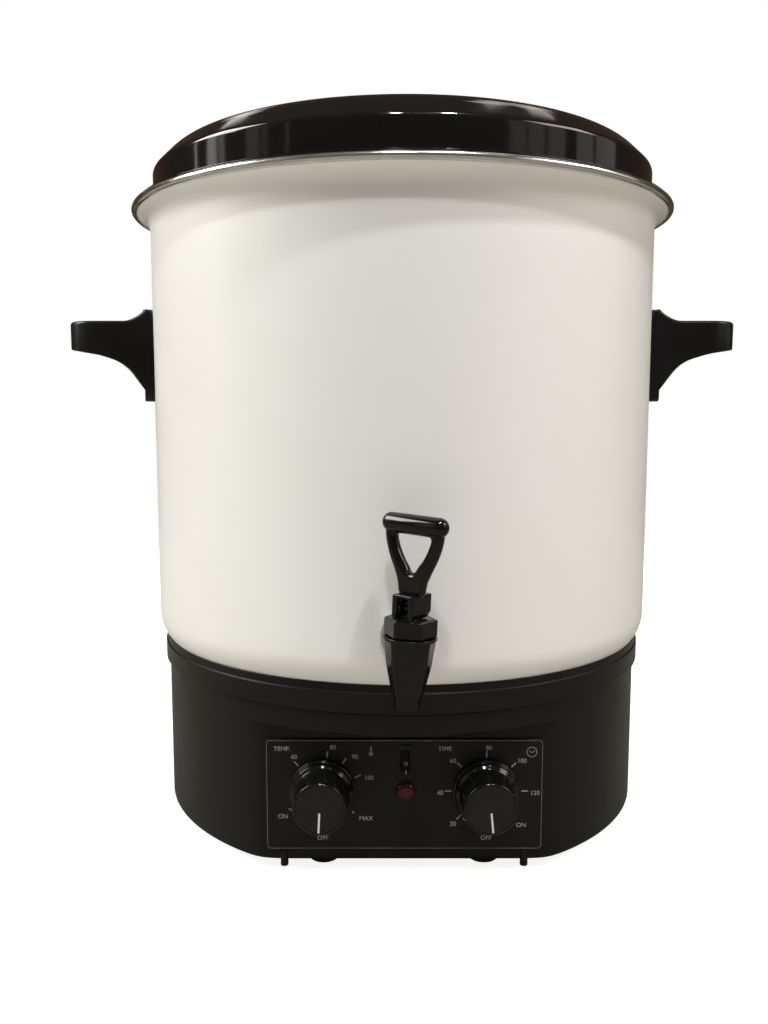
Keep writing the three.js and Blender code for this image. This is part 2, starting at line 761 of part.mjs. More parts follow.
function footPieces([place, x, y]) {
  const top = plateBottom - seatGap;
  const bore = footScrewRadius + seatGap;
  const recess = footScrewHeadRadius + seatGap;
  const foot = piece(`rubber_foot_${place}`, turned([
    [recess, 0], [footRadius - footRing, 0], [footRadius, footRing], [footRadius, top],
    [bore, top], [bore, footScrewRecess], [recess, footScrewRecess],
  ], rodSteps), blackRubber);
  const seat = footScrewRecess - seatGap;
  const tip = plateTop + footScrewReach;
  const screw = piece(`foot_screw_${place}`, turned([
    [0, seat - footScrewHeadHeight], [footScrewHeadRadius, seat - footScrewHeadHeight],
    [footScrewHeadRadius, seat], [footScrewRadius, seat], [footScrewRadius, tip], [0, tip],
  ], screwSteps), dullSteel);
  foot.position.set(x, y, 0);
  screw.position.set(x, y, 0);
  return [foot, screw];
}

function controlPanel() {
  const halfHeight = (panelTop - panelBottom) / 2;
  const sheet = solid(facingFront(slab(roundedRectangle(panelHalfWidth, halfHeight, panelCorner),
    panelBack, panelFront)).translate(0, 0, panelBottom + halfHeight));
  return piece('control_panel', cut(sheet, ...holesThroughFront(panelFront + overrun)), panelBlack);
}

// Knob: stepped skirt, tapered grip and a dished face; hollow at the back round its hub
function knobGeometry() {
  const skirtShares = [[1, 0], [1, 0.3], [0.93, 0.42], [0.92, 0.78], [0.86, 0.96]];
  const bore = shaftRadius + seatGap;
  return facingFront(turned([
    [0, knobBoreDepth], [bore, knobBoreDepth], [bore, 0], [shaftRadius * 2, 0],
    [shaftRadius * 2, knobSkirtHeight / 2], [knobBodyRadius, knobSkirtHeight / 2], [knobBodyRadius, 0],
    ...skirtShares.map(([out, up]) => [knobSkirtRadius * out, knobSkirtHeight * up]),
    [knobBodyRadius, knobSkirtHeight * 1.1],
    [knobFaceRadius, knobHeight * 0.94], [knobFaceRadius * 0.93, knobHeight],
    [knobFaceRadius * 0.84, knobHeight], [knobFaceRadius * 0.8, knobHeight * 0.985], [0, knobHeight * 0.985],
  ], knobSteps));
}

function controlPieces() {
  const back = wallInside - seatGap;
  const bushFront = panelFront - seatGap;
  const bore = shaftRadius + seatGap;
  const boreEnd = back - shaftInset;
  const thermostat = facingFront(turned([
    [0, back - thermostatDepth], [thermostatRadius, back - thermostatDepth], [thermostatRadius, back],
    [bushRadius, back], [bushRadius, bushFront], [bore, bushFront], [bore, boreEnd], [0, boreEnd],
  ], knobSteps));
  const timerCase = solid(slab(roundedRectangle(timerHalfSize, timerHalfSize, timerCorner), back - timerDepth, back));
  const timerBush = solid(rod(bushRadius, back - shaftInset, bushFront));
  const timerBore = solid(rod(bore, boreEnd, back + overrun));
  const timer = facingFront(geometryOf(timerCase.add(timerBush).subtract(timerBore)));
  const shaftTip = panelFront + knobBack + knobBoreDepth - seatGap;
  const shaft = () => facingFront(rod(shaftRadius, boreEnd + seatGap, shaftTip));
  const parts = [
    piece('thermostat_body', thermostat, innerResin), piece('thermostat_shaft', shaft(), brassYellow),
    piece('thermostat_knob', knobGeometry(), glossResin), piece('timer_body', timer, innerResin),
    piece('timer_shaft', shaft(), brassYellow), piece('timer_knob', knobGeometry(), glossResin),
  ];
  parts.forEach((mesh, i) => mesh.position.set(i < 3 ? -knobX : knobX, 0, knobZ));
  parts[2].position.y = -(panelFront + knobBack);
  parts[5].position.y = -(panelFront + knobBack);
  return parts;
}

// Rocker switch: a framed case open at the front and a dished rocker on a cross pivot
function switchPieces() {
  const frameBack = panelFront + seatGap;
  const frame = solid(facingFront(slab(roundedRectangle(bezelHalfWidth, bezelHalfHeight, seatGap * 2),
    frameBack, frameBack + bezelProud)));
  const body = solid(block(-switchHalfWidth, switchHalfWidth, -frameBack - bezelProud / 2,
    -frameBack + switchDepth, -switchHalfHeight, switchHalfHeight));
  const wellHalf = rockerHalfWidth + seatGap;
  const wellHeight = Math.hypot(rockerHalfHeight, rockerDepth) + seatGap;
  const well = solid(block(-wellHalf, wellHalf, -frameBack - overrun, -frameBack + rockerDepth * 2.2,
    -wellHeight, wellHeight));
  const housing = piece('switch_housing', frame.add(body).subtract(well), glossResin);
  housing.position.set(switchX, 0, switchZ);
  const profile = outline([
    [-rockerHalfHeight, 0], [0, -rockerDepth], [rockerHalfHeight, 0], [rockerHalfHeight, rockerDepth * 0.8],
    [0, rockerDepth - rockerDip], [-rockerHalfHeight, rockerDepth * 0.8],
  ]);
  const rocker = piece('switch_rocker', slab(profile, -rockerHalfWidth, rockerHalfWidth)
    .rotateZ(Math.PI / 2).rotateY(Math.PI / 2), glossResin);
  rocker.geometry.rotateX(THREE.MathUtils.degToRad(-90));
  rocker.rotation.x = THREE.MathUtils.degToRad(-rockerTilt);
  rocker.position.set(switchX, -frameBack, switchZ);
  return [housing, rocker];
}

function lampPieces() {
  const seat = panelFront + seatGap;
  const lens = facingFront(turned([
    [0, seat - lampShankDepth], [lampShankRadius, seat - lampShankDepth], [lampShankRadius, seat],
    [lampRadius, seat], [lampRadius, seat + lampDome * 0.3],
    ...arc(0, seat + lampDome * 0.3, lampRadius, lampDome * 0.7, 20, 90, 3),
  ], 16));
  const holderFront = wallInside - seatGap;
  const bore = lampShankRadius + seatGap;
  const pocket = seat - lampShankDepth - seatGap;
  const holder = facingFront(turned([
    [0, holderFront - lampHolderDepth], [lampHolderRadius, holderFront - lampHolderDepth],
    [lampHolderRadius, holderFront], [bore, holderFront], [bore, pocket], [0, pocket],
  ], 12));
  const parts = [piece('lamp_lens', lens, lampRed), piece('lamp_holder', holder, innerResin)];
  parts.forEach((mesh) => mesh.position.set(lampX, 0, lampZ));
  return parts;
}

function sweep(path, radius, sides, steps) {
  const ring = outline(arc(0, 0, radius, radius, 0, 360 - 360 / sides, sides - 1));
  return new THREE.ExtrudeGeometry(ring, { steps, bevelEnabled: false, extrudePath: path });
}

// Heater path, from end to end: leg, quarter bend, most of a circle, quarter bend, leg
class HeaterPath extends THREE.Curve {
  getPoint(t) {
    const half = heaterCircle * THREE.MathUtils.degToRad(heaterTurn);
    const quarter = heaterBend * Math.PI / 2;
    const leg = heaterLegDepth - heaterBend;
    const run = Math.abs(t - 0.5) * 2 * (half + quarter + leg);
    const side = Math.sign(t - 0.5);
    const angle = side * Math.min(run, half) / heaterCircle - Math.PI / 2;
    const bent = Math.min(Math.max(run - half, 0), quarter) / heaterBend;
    const onwards = side * heaterBend * Math.sin(bent);
    const down = heaterBend * (1 - Math.cos(bent)) + Math.max(run - half - quarter, 0);
    return new THREE.Vector3(
      heaterCircle * Math.cos(angle) - onwards * Math.sin(angle),
      heaterCircle * Math.sin(angle) + onwards * Math.cos(angle),
      heaterHeight - down,
    );
  }
}

// Tubular heater: most of a circle against the pot floor, both ends turned down
function heaterPieces() {
  const path = new HeaterPath();
  const element = piece('heating_element', sweep(path, heaterTube, 6, 48), dullSteel);
  const bottom = reflectorTop - reflectorSheet;
  const dish = solid(turned([
    [tieRadius + seatGap, bottom], [reflectorRadius, bottom], [reflectorRadius, reflectorTop + reflectorRim],
    [reflectorRadius - reflectorSheet, reflectorTop + reflectorRim],
    [reflectorRadius - reflectorSheet, reflectorTop], [tieRadius + seatGap, reflectorTop],
  ], knobSteps));
  const legHoles = [0, 1].map((end) => {
    const leg = path.getPoint(end);
    return solid(rod(heaterTube * 2, bottom - overrun, bottom + overrun).translate(leg.x, leg.y, 0));
  });
  const bulbHole = solid(rod(capillaryRadius * 3, bottom - overrun, bottom + overrun)
    .translate(-knobX, bulbStart - capillaryStub, 0));
  const nut = hexNut(tieNutRadius, tieRadius + seatGap, bottom - seatGap - tieNutHeight, bottom - seatGap);
  const cutout = rod(cutoutRadius, bottom - seatGap - cutoutHeight, bottom - seatGap, 20)
    .translate(cutoutX, cutoutY, 0);
  return [
    element, piece('reflector_plate', cut(dish, ...legHoles, bulbHole), brightSteel),
    piece('reflector_nut', nut, dullSteel), piece('thermal_cutout', cutout, innerResin),
  ];
}

function tiePieces() {
  const padTop = potBottomHeight - seatGap;
  const nutTop = plateBottom - seatGap;
  const tail = nutTop - tieNutHeight - tieTail;
  const bolt = turned([
    [0, tail], [tieRadius, tail], [tieRadius, padTop - tiePadHeight], [tiePadRadius, padTop - tiePadHeight],
    [tiePadRadius, padTop], [0, padTop],
  ], 12);
  const nut = hexNut(tieNutRadius, tieRadius + seatGap, nutTop - tieNutHeight, nutTop);
  return [piece('tie_bolt', bolt, dullSteel), piece('tie_nut', nut, dullSteel)];
}

// Bulb under the pot floor and the capillary that leads from it to the thermostat
function bulbPieces() {
  const bulbHeight = potBottomHeight - seatGap - bulbRadius;
  const bulb = rod(bulbRadius, bulbStart, bulbStart + bulbLength, 12)
    .rotateX(-Math.PI / 2).translate(-knobX, 0, bulbHeight);
  const bodyBack = -(wallInside - seatGap - thermostatDepth);
  const riser = bulbStart - capillaryStub;
  const start = bodyBack + seatGap;
  const places = [
    [start, knobZ], [start + capillaryStub, knobZ], [(start + riser) / 2, (knobZ + reflectorTop) / 2],
    [riser, reflectorTop - capillaryStub], [riser, reflectorTop],
    [bulbStart - capillaryStub / 3, bulbHeight], [bulbStart - seatGap, bulbHeight],
  ];
  const route = new THREE.CatmullRomCurve3(places.map(([y, z]) => new THREE.Vector3(-knobX, y, z)));
  return [
    piece('sensing_bulb', bulb, brassYellow),
    piece('capillary_tube', sweep(route, capillaryRadius, 5, 18), brassYellow),
  ];
}

// Terminal block on the bottom plate and the gland where the mains lead enters
function mainsPieces() {
  const low = plateTop + seatGap;
  const terminals = block(-terminalHalfWidth, terminalHalfWidth, terminalY, terminalY + terminalDepth,
    low, low + terminalHeight);
  const seat = baseRadius + seatGap;
  const tail = baseRadius - baseWall - glandTail;
  const gland = turned([
    [glandBore, tail], [glandRadius, tail], [glandRadius, seat], [glandFlangeRadius, seat],
    [glandFlangeRadius, seat + glandFlangeHeight], [glandRadius, seat + glandFlangeHeight],
    [glandRadius * 0.8, seat + glandFlangeHeight + glandNose], [glandBore, seat + glandFlangeHeight + glandNose],
  ], rodSteps);
  const nutFace = (baseRadius - baseWall) * Math.cos(Math.PI / wideSteps) - seatGap;
  const nut = hexNut(glandNutRadius, glandRadius + seatGap, nutFace - glandNutHeight, nutFace);
  const parts = [piece('cord_gland', gland, blackResin), piece('gland_nut', nut, blackResin)];
  parts.forEach((mesh) => {
    mesh.geometry.rotateX(-Math.PI / 2);
    mesh.position.z = glandZ;
  });
  return [piece('terminal_block', terminals, innerResin), ...parts];
}

// Tap body: eight-sided tapering barrel, nozzle, flanged shank and a chamber with its seat
function tapBody() {
  const faceted = 1 / Math.cos(Math.PI / 8);
  const barrel = solid(turned([
    [0, barrelLow], [barrelLowRadius, barrelLow], [barrelMidRadius, (barrelLow + barrelTop) / 2],
    [barrelTopRadius, barrelTop], [0, barrelTop],
  ], 8));
  const nozzle = solid(turned([
    [0, nozzleTip], [nozzleRadius, nozzleTip], [nozzleRadius * faceted, barrelLow + barrelTop], [0, barrelLow + barrelTop],
  ], 8));
  const neck = solid(rod(neckRadius, 0, neckTop, 20));
  const shank = solid(rod(shankRadius, 0, tapReach - shankEnd, 20).rotateX(-Math.PI / 2));
  const flangeBack = tapReach - potRadius - seatGap * 2 - gasketThickness;
  const flange = solid(rod(shankFlangeRadius, flangeBack - shankFlangeThickness, flangeBack, 24)
    .rotateX(-Math.PI / 2));
  const chamber = solid(rod(chamberRadius, chamberFloor, neckTop + overrun, 20));
  const outlet = solid(rod(outletRadius, nozzleTip - overrun, chamberFloor + overrun / 2, rodSteps));
  const inlet = solid(rod(shankBore, 0, tapReach, rodSteps).rotateX(-Math.PI / 2));
  return piece('tap_body', cut(join(barrel, nozzle, neck, shank, flange), chamber, outlet, inlet), glossResin);
}

function tapBonnet() {
  const low = barrelTop + seatGap;
  const bore = neckRadius + seatGap;
  const roof = bonnetTop - bonnetRoof;
  const stemHole = stemRadius + seatGap;
  const chamfer = seatGap * 3;
  const cap = solid(turned([
    [0, low], [bonnetRadius - chamfer, low], [bonnetRadius, low + chamfer],
    [bonnetRadius, bonnetTop - chamfer], [bonnetRadius - chamfer * 2, bonnetTop], [0, bonnetTop],
  ], 6));
  const thread = solid(rod(bore, low - overrun, roof, 20));
  const guide = solid(rod(stemHole, low, bonnetTop + overrun));
  const mesh = piece('tap_bonnet', cut(cap, thread, guide), glossResin);
  mesh.rotation.z = THREE.MathUtils.degToRad(bonnetTurn);
  return mesh;
}

function tapSeals() {
  const ring = (name, geometry, look) => {
    const mesh = piece(name, geometry, look);
    mesh.rotation.x = Math.PI / 2;
    mesh.position.y = tapReach;
    return mesh;
  };
  const bore = shankRadius + seatGap;
  const wallFall = (innerGasketRadius + Math.abs(tapSide)) * Math.tan(Math.PI / wideSteps);
  const innerFace = potInside - wallFall - seatGap - gasketThickness;
  const nutFace = innerFace - seatGap - lockNutThickness;
  const outerFace = potRadius + seatGap;
  return [
    ring('tap_gasket_outer', tube(gasketRadius, bore, outerFace, outerFace + gasketThickness, knobSteps), paleSilicone),
    ring('tap_gasket_inner', tube(innerGasketRadius, bore, innerFace, innerFace + gasketThickness, knobSteps), paleSilicone),
    ring('tap_lock_nut', hexNut(lockNutRadius, bore, nutFace, nutFace + lockNutThickness), glossResin),
  ];
}

// One unbroken wire: a closed ring of points carried round and up a helix
function springGeometry(low, high) {
  const [sides, perTurn] = [5, 8];
  const count = springCurls * perTurn;
  const spots = [];
  const faces = [];
  for (let i = 0; i <= count; i += 1) {
    const turn = Math.PI * 2 * i / perTurn;
    const height = low + springWire + (high - low - springWire * 2) * i / count;
    for (let k = 0; k < sides; k += 1) {
      const round = Math.PI * 2 * k / sides;
      const out = springRadius + springWire * Math.cos(round);
      spots.push(out * Math.cos(turn), out * Math.sin(turn), height + springWire * Math.sin(round));
    }
  }
  for (let i = 0; i < count; i += 1) {
    for (let k = 0; k < sides; k += 1) {
      const [a, b] = [i * sides + k, i * sides + (k + 1) % sides];
      faces.push(a, b, a + sides, b, b + sides, a + sides);
    }
  }
  for (let k = 1; k < sides - 1; k += 1) {
    faces.push(0, k + 1, k);
    faces.push(count * sides, count * sides + k, count * sides + k + 1);
  }
  const geometry = new THREE.BufferGeometry();
  geometry.setAttribute('position', new THREE.BufferAttribute(new Float32Array(spots), 3));
  geometry.setIndex(faces);
  return geometry;
}

// Least space between neighbouring turns of the spring wire
function springClearance(low, high) {
  return (high - low - springWire * 2) / springCurls - springWire * 2;
}

// Stem with a rounded, cross-bored head; the cup on its foot closes the outlet
function stemPieces() {
  const cupBottom = chamberFloor + seatGap;
  const cupTop = cupBottom + cupHeight;
  const pinHeight = bonnetTop + seatGap + leverPinHeight;
  const bore = stemRadius + seatGap;
  const stemFoot = cupBottom + cupHeight / 3;
  const cup = turned([
    [0, cupBottom], [outletRadius * 0.9, cupBottom], [cupRadius, cupBottom + cupHeight / 3],
    [cupRadius * 0.9, cupTop], [bore, cupTop], [bore, stemFoot - seatGap], [0, stemFoot - seatGap],
  ], 20);
  const shaft = solid(rod(stemRadius, stemFoot, pinHeight, rodSteps));
  const head = solid(rod(stemHeadRadius, -stemHeadRadius, stemHeadRadius, rodSteps)
    .rotateY(Math.PI / 2).translate(0, 0, pinHeight));
  const eye = solid(rod(leverPinRadius + seatGap, -overrun, overrun).rotateY(Math.PI / 2).translate(0, 0, pinHeight));
  const pin = rod(leverPinRadius, -leverFootWidth / 2, leverFootWidth / 2).rotateY(Math.PI / 2)
    .translate(0, 0, pinHeight);
  const springLow = cupTop + seatGap;
  const springHigh = bonnetTop - bonnetRoof - seatGap;
  console.log(`tap spring: least clearance between turns ${springClearance(springLow, springHigh).toFixed(2)} mm`);
  return [
    piece('tap_seat_cup', cup, paleSilicone),
    piece('tap_stem', shaft.add(head).subtract(eye), brightSteel),
    piece('tap_lever_pin', pin, blackSteel),
    piece('tap_spring', springGeometry(springLow, springHigh), brightSteel),
  ];
}

// Lever: slotted foot that rocks on the bonnet and a D-shaped loop with a round bar
function tapLever() {
  const low = bonnetTop + seatGap;
  const footTop = low + leverFootHeight;
  const halfWidth = leverFootWidth / 2;
  const halfDepth = leverFootDepth / 2;
  const heel = leverFootDepth / 3;
  const side = outline([
    [-halfDepth, low], [halfDepth - heel, low],
    ...arc(halfDepth - heel, low + heel, heel, heel, -60, 0, 3),
    [halfDepth, footTop], [-halfDepth, footTop],
  ]);
  const foot = solid(slab(side, -halfWidth, halfWidth).rotateX(Math.PI / 2).rotateZ(Math.PI / 2));
  const slot = solid(block(-leverSlotWidth / 2, leverSlotWidth / 2, -overrun, overrun, low - overrun, low + leverSlotTop));
  const pinHole = solid(rod(leverPinRadius + seatGap, -overrun, overrun).rotateY(Math.PI / 2)
    .translate(0, 0, low + leverPinHeight));
  const barHeight = low + leverBarHeight - leverBarRadius / 5;
  const loopShape = leverLoop(low, footTop, barHeight);
  const loopDepth = leverLegThickness - leverBevel * 2;
  const loop = solid(new THREE.ExtrudeGeometry(loopShape, {
    depth: loopDepth, bevelThickness: leverBevel, bevelSize: leverBevel, bevelOffset: -leverBevel,
    bevelSegments: 2, curveSegments: 6,
  }).translate(0, 0, -loopDepth / 2).rotateX(Math.PI / 2));
  const end = leverBarLength / 2 - leverBarRadius;
  const bar = solid(turned([
    ...arc(0, -end, leverBarRadius, leverBarRadius, -90, 0, 4),
    ...arc(0, end, leverBarRadius, leverBarRadius, 0, 90, 4),
  ], rodSteps).rotateY(Math.PI / 2).translate(0, 0, barHeight));
  return piece('tap_lever', join(cut(join(foot, loop), slot, pinHole), bar), glossResin);
}

function leverLoop(low, footTop, barHeight) {
  const legShares = [[0.12, 0.16], [0.33, 0.3], [0.67, 0.5], [0.91, 0.7], [1, 0.9], [1, 1]];
  const windowShares = [[0.61, 0.36], [0.84, 0.65], [1, 1]];
  const rise = barHeight - footTop;
  const spread = leverShoulderHalf - leverNeckHalf;
  const flank = legShares.map(([out, up]) => [leverNeckHalf + spread * out, footTop + rise * up]);
  const foot = footTop - leverBevel * 2;
  const mirrored = (points) => points.map(([x, y]) => [-x, y]).reverse();
  const loop = outline([[leverNeckHalf, foot], ...flank, ...mirrored(flank), [-leverNeckHalf, foot]]);
  const apex = arc(0, low + leverWindowLow + leverWindowRound, leverWindowRound, leverWindowRound, 270, 340, 3);
  const windowHeight = leverWindowTop - leverWindowLow;
  const edge = [...apex, ...windowShares.map(([out, up]) => [
    leverWindowHalf * out, low + leverWindowLow + windowHeight * up,
  ])];
  loop.holes.push(outline([...edge, ...mirrored(edge)]));
  return loop;
}

function tapGroup() {
  const tap = new THREE.Group();
  const turning = new THREE.Group();
  turning.add(...stemPieces(), tapLever());
  turning.rotation.z = THREE.MathUtils.degToRad(-leverTurn);
  tap.add(tapBody(), tapBonnet(), ...tapSeals(), turning);
  tap.position.set(tapSide, -tapReach, tapHeight);
  tap.rotation.y = THREE.MathUtils.degToRad(tapLean);
  return tap;
}

const frontReach = tapReach + (leverBarLength / 2 - leverBarRadius)
  * Math.sin(THREE.MathUtils.degToRad(leverTurn)) + leverBarRadius;
const group = new THREE.Group();
group.add(
  potShell(), rimTrim(), lidShell(), ...lidKnobPieces(), jarRack(), ...handlePieces(),
  baseCollar(), baseHousing(), bottomPlate(), ...feet.flatMap(footPieces),
  controlPanel(), ...controlPieces(), ...switchPieces(), ...lampPieces(),
  ...heaterPieces(), ...tiePieces(), ...bulbPieces(), ...mainsPieces(), tapGroup(),
);
group.position.y = (frontReach - trimReach) / 2;

export default group;
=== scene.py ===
import math

import bmesh
import bpy
import numpy as np
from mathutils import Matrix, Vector


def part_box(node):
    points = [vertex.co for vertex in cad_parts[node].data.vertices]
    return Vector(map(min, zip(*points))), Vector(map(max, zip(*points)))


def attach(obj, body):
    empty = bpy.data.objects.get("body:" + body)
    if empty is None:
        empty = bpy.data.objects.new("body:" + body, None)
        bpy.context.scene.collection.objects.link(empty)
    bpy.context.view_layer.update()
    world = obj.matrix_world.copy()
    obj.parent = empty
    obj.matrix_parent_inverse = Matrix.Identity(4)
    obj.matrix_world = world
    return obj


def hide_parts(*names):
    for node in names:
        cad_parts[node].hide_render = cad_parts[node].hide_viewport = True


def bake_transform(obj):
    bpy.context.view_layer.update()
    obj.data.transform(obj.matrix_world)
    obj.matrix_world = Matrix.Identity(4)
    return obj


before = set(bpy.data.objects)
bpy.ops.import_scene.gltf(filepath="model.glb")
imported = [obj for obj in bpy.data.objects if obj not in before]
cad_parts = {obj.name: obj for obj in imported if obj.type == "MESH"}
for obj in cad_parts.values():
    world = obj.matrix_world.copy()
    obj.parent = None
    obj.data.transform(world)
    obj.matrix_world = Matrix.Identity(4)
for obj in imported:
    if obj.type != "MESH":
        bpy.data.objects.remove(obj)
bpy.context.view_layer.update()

# Camera
# The eye is 283 mm above the floor and about half a metre in front of the pot. It looks
# down 6.56 degrees, with a focal length of 930 pixels in a frame 1024 pixels high.
eye = bpy.data.objects.new("eye", bpy.data.cameras.new("eye"))
eye.location = (-0.01235, -0.67113, 0.28341)
eye.rotation_euler = (math.radians(83.44), 0, 0)
eye.data.lens = 36 * 930 / 1024
bpy.context.collection.objects.link(eye)
bpy.context.scene.camera = eye
bpy.context.scene.view_settings.view_transform = "Standard"


# Soft light
# Small lamps hang high in front and give the rim its bright points and the tap its soft
# shadows. A broad box lights each side, tall panes stand level with the lid, and dim
# pale patches behind are mirrored in its shoulder.
def softbox(name, place, aim, size, power, colour):
    """Rectangular lamp at place that faces aim; the camera doesn't see the box itself."""
    lamp = bpy.data.lights.new(name, "AREA")
    lamp.shape = "RECTANGLE"
    lamp.size, lamp.size_y = size
    lamp.energy = power
    lamp.color = colour
    box = bpy.data.objects.new(name, lamp)
    box.location = place
    box.rotation_euler = (Vector(aim) - Vector(place)).to_track_quat("-Z", "Y").to_euler()
    box.visible_camera = False
    bpy.context.collection.objects.link(box)


def seen_from_lid(azimuth, rise, distance):
    """Point at an azimuth in degrees right of the front and a rise above the lid's edge."""
    across, up = math.radians(azimuth), math.radians(rise)
    level = distance * math.cos(up)
    return (level * math.sin(across), -level * math.cos(across), 0.42 + distance * math.sin(up))


lid_middle = (0, 0, 0.42)
pot_middle = (0, 0, 0.28)
day_white = (1.0, 0.99, 0.96)
warm_white = (1.0, 0.93, 0.86)
left_white = (1.0, 0.99, 0.945)
cool_white = (0.97, 0.99, 1.0)
pane_away = 3
pane_tall = 1.5
softbox("ceiling_left", seen_from_lid(-4, 54, 2.1), pot_middle, (0.12, 0.12), 16.5, cool_white)
softbox("ceiling_right", seen_from_lid(31, 63, 2.1), pot_middle, (0.12, 0.12), 24, cool_white)
softbox("high_left", seen_from_lid(-89, 32, 2.4), pot_middle, (1.1, 1.1), 59, left_white)
softbox("high_right", seen_from_lid(76, 32, 2.4), pot_middle, (1.2, 0.8), 22.5, warm_white)
softbox("sky_box", seen_from_lid(14, 50, 2.4), lid_middle, (0.5, 0.12), 1.2, (0.6, 0.78, 1.0))
for azimuth, rise, glow in [
        (147, 61.5, 0.4), (151, 57, 0.3), (156, 52, 0.25), (143, 52, 0.3), (148, 49, 0.25),
        (154, 45.5, 0.2), (-147.5, 44, 0.4), (-153, 40.5, 0.3), (-159, 36.5, 0.25)]:
    softbox("shelf", seen_from_lid(azimuth, rise, 2.4), lid_middle, (0.24, 0.24), glow, warm_white)
for start, end, glow in [
        (-99.6, -98.4, 9), (-91, -85.5, 8), (-84, -80.5, 3.6), (-68.5, -62, 1.6), (-60.5, -58, 1.2),
        (-49.5, -48, 1.6), (44, 51, 1.7), (52.5, 60, 1.8), (62, 70.5, 1.9), (77, 86.5, 2.1),
        (88.5, 102, 2.0)]:
    wide = 2 * pane_away * math.tan(math.radians(end - start) / 2)
    softbox("pane", seen_from_lid((start + end) / 2, 13, pane_away), lid_middle, (wide, pane_tall),
            glow * wide * pane_tall, day_white if start < 0 else warm_white)


# Room around the table
# The room is dim and warm so that black gloss stays black, lighter overhead and darker
# behind the pot. Only what the camera sees directly, or through plastic, is white.
def add_node(tree, kind, values=None, **settings):
    """New shader node of a kind with its settings by name and plain values on its input sockets."""
    made = tree.nodes.new("ShaderNode" + kind)
    for label, value in settings.items():
        setattr(made, label, value)
    for label, value in (values or {}).items():
        made.inputs[label].default_value = value
    return made


def wire(tree, *wires):
    """Links in a node tree, each given as (node, output, node, input)."""
    for source, output, target, socket in wires:
        tree.links.new(source.outputs[output], target.inputs[socket])


room = bpy.data.worlds.new("room")
room.use_nodes = True
room_tree = room.node_tree
room_tree.nodes.clear()
heading = add_node(room_tree, "TexCoord")
heading_parts = add_node(room_tree, "SeparateXYZ")
lift = add_node(room_tree, "MapRange", {"From Min": -1})
climb = add_node(room_tree, "ValToRGB")
low_stop, high_stop = climb.color_ramp.elements
low_stop.position = 0.35
low_stop.color = (0.1, 0.082, 0.066, 1)
high_stop.position = 0.8
high_stop.color = (0.15, 0.144, 0.136, 1)
behind = add_node(room_tree, "MapRange", {"From Min": -0.3, "From Max": 0.6})
brown = add_node(room_tree, "Mix", {"B": (0.075, 0.046, 0.031, 1)}, data_type="RGBA")
dim = add_node(room_tree, "Background")
white = add_node(room_tree, "Background", {"Color": (1, 1, 1, 1)})
seen = add_node(room_tree, "LightPath")
either = add_node(room_tree, "Math", operation="MAXIMUM")
choice = add_node(room_tree, "MixShader")
sky_out = add_node(room_tree, "OutputWorld")
wire(room_tree,
     (heading, "Generated", heading_parts, 0), (heading_parts, "Z", lift, "Value"), (lift, 0, climb, "Fac"),
     (heading_parts, "Y", behind, "Value"), (behind, 0, brown, "Factor"), (climb, "Color", brown, "A"),
     (brown, "Result", dim, "Color"), (seen, "Is Camera Ray", either, 0),
     (seen, "Is Transmission Ray", either, 1), (either, 0, choice, 0), (dim, 0, choice, 1),
     (white, 0, choice, 2), (choice, 0, sky_out, 0))
bpy.context.scene.world = room


# White paper under the pot
# One flat sheet takes the pot's shadow, and glows just enough for the camera to read it
# as white. What it throws back at the pot is the dull brown of a table top.
def quads(rows, columns, closed_round=True):
    """Faces between each row of points and the next; the last column may join the first."""
    last = columns if closed_round else columns - 1
    row, column = np.meshgrid(np.arange(rows - 1), np.arange(last), indexing="ij")
    beside = (column + 1) % columns
    corners = [row * columns + column, row * columns + beside,
               (row + 1) * columns + beside, (row + 1) * columns + column]
    return np.stack(corners, -1).reshape(-1, 4)


def shown(name, mesh, finish, sharp=38):
    """Object at the origin that shows the mesh in one material, smooth except where
    neighbouring faces turn by more than the sharp angle."""
    mesh.materials.append(finish)
    mesh.shade_smooth()
    mesh.set_sharp_from_angle(angle=math.radians(sharp))
    made = bpy.data.objects.new(name, mesh)
    bpy.context.collection.objects.link(made)
    return made


paper_white = bpy.data.materials.new("paper_white")
paper_white.use_nodes = True
paper_tree = paper_white.node_tree
paper_tree.nodes.clear()
paper_skin = add_node(paper_tree, "BsdfDiffuse")
paper_tone = add_node(paper_tree, "Mix", {"A": (0.5, 0.475, 0.43, 1), "B": (0.25, 0.24, 0.205, 1)},
                      data_type="RGBA")
paper_glow = add_node(paper_tree, "Emission")
paper_seen = add_node(paper_tree, "LightPath")
paper_either = add_node(paper_tree, "Math", operation="MAXIMUM")
paper_share = add_node(paper_tree, "Math", {1: 0.88}, operation="MULTIPLY")
paper_both = add_node(paper_tree, "AddShader")
paper_out = add_node(paper_tree, "OutputMaterial")
wire(paper_tree,
     (paper_seen, "Is Glossy Ray", paper_tone, "Factor"), (paper_tone, "Result", paper_skin, "Color"),
     (paper_seen, "Is Camera Ray", paper_either, 0), (paper_seen, "Is Transmission Ray", paper_either, 1),
     (paper_either, 0, paper_share, 0), (paper_share, 0, paper_glow, "Strength"),
     (paper_skin, 0, paper_both, 0), (paper_glow, 0, paper_both, 1), (paper_both, 0, paper_out, "Surface"))
paper_x, paper_y = np.meshgrid(np.linspace(-2.5, 2.5, 11), np.linspace(-2.2, 1.2, 9))
paper_points = np.stack([paper_x, paper_y, 0 * paper_x], -1)
paper_mesh = bpy.data.meshes.new("paper")
paper_mesh.from_pydata(paper_points.reshape(-1, 3).tolist(), [], quads(9, 11, False).tolist())
paper = shown("paper", paper_mesh, paper_white)


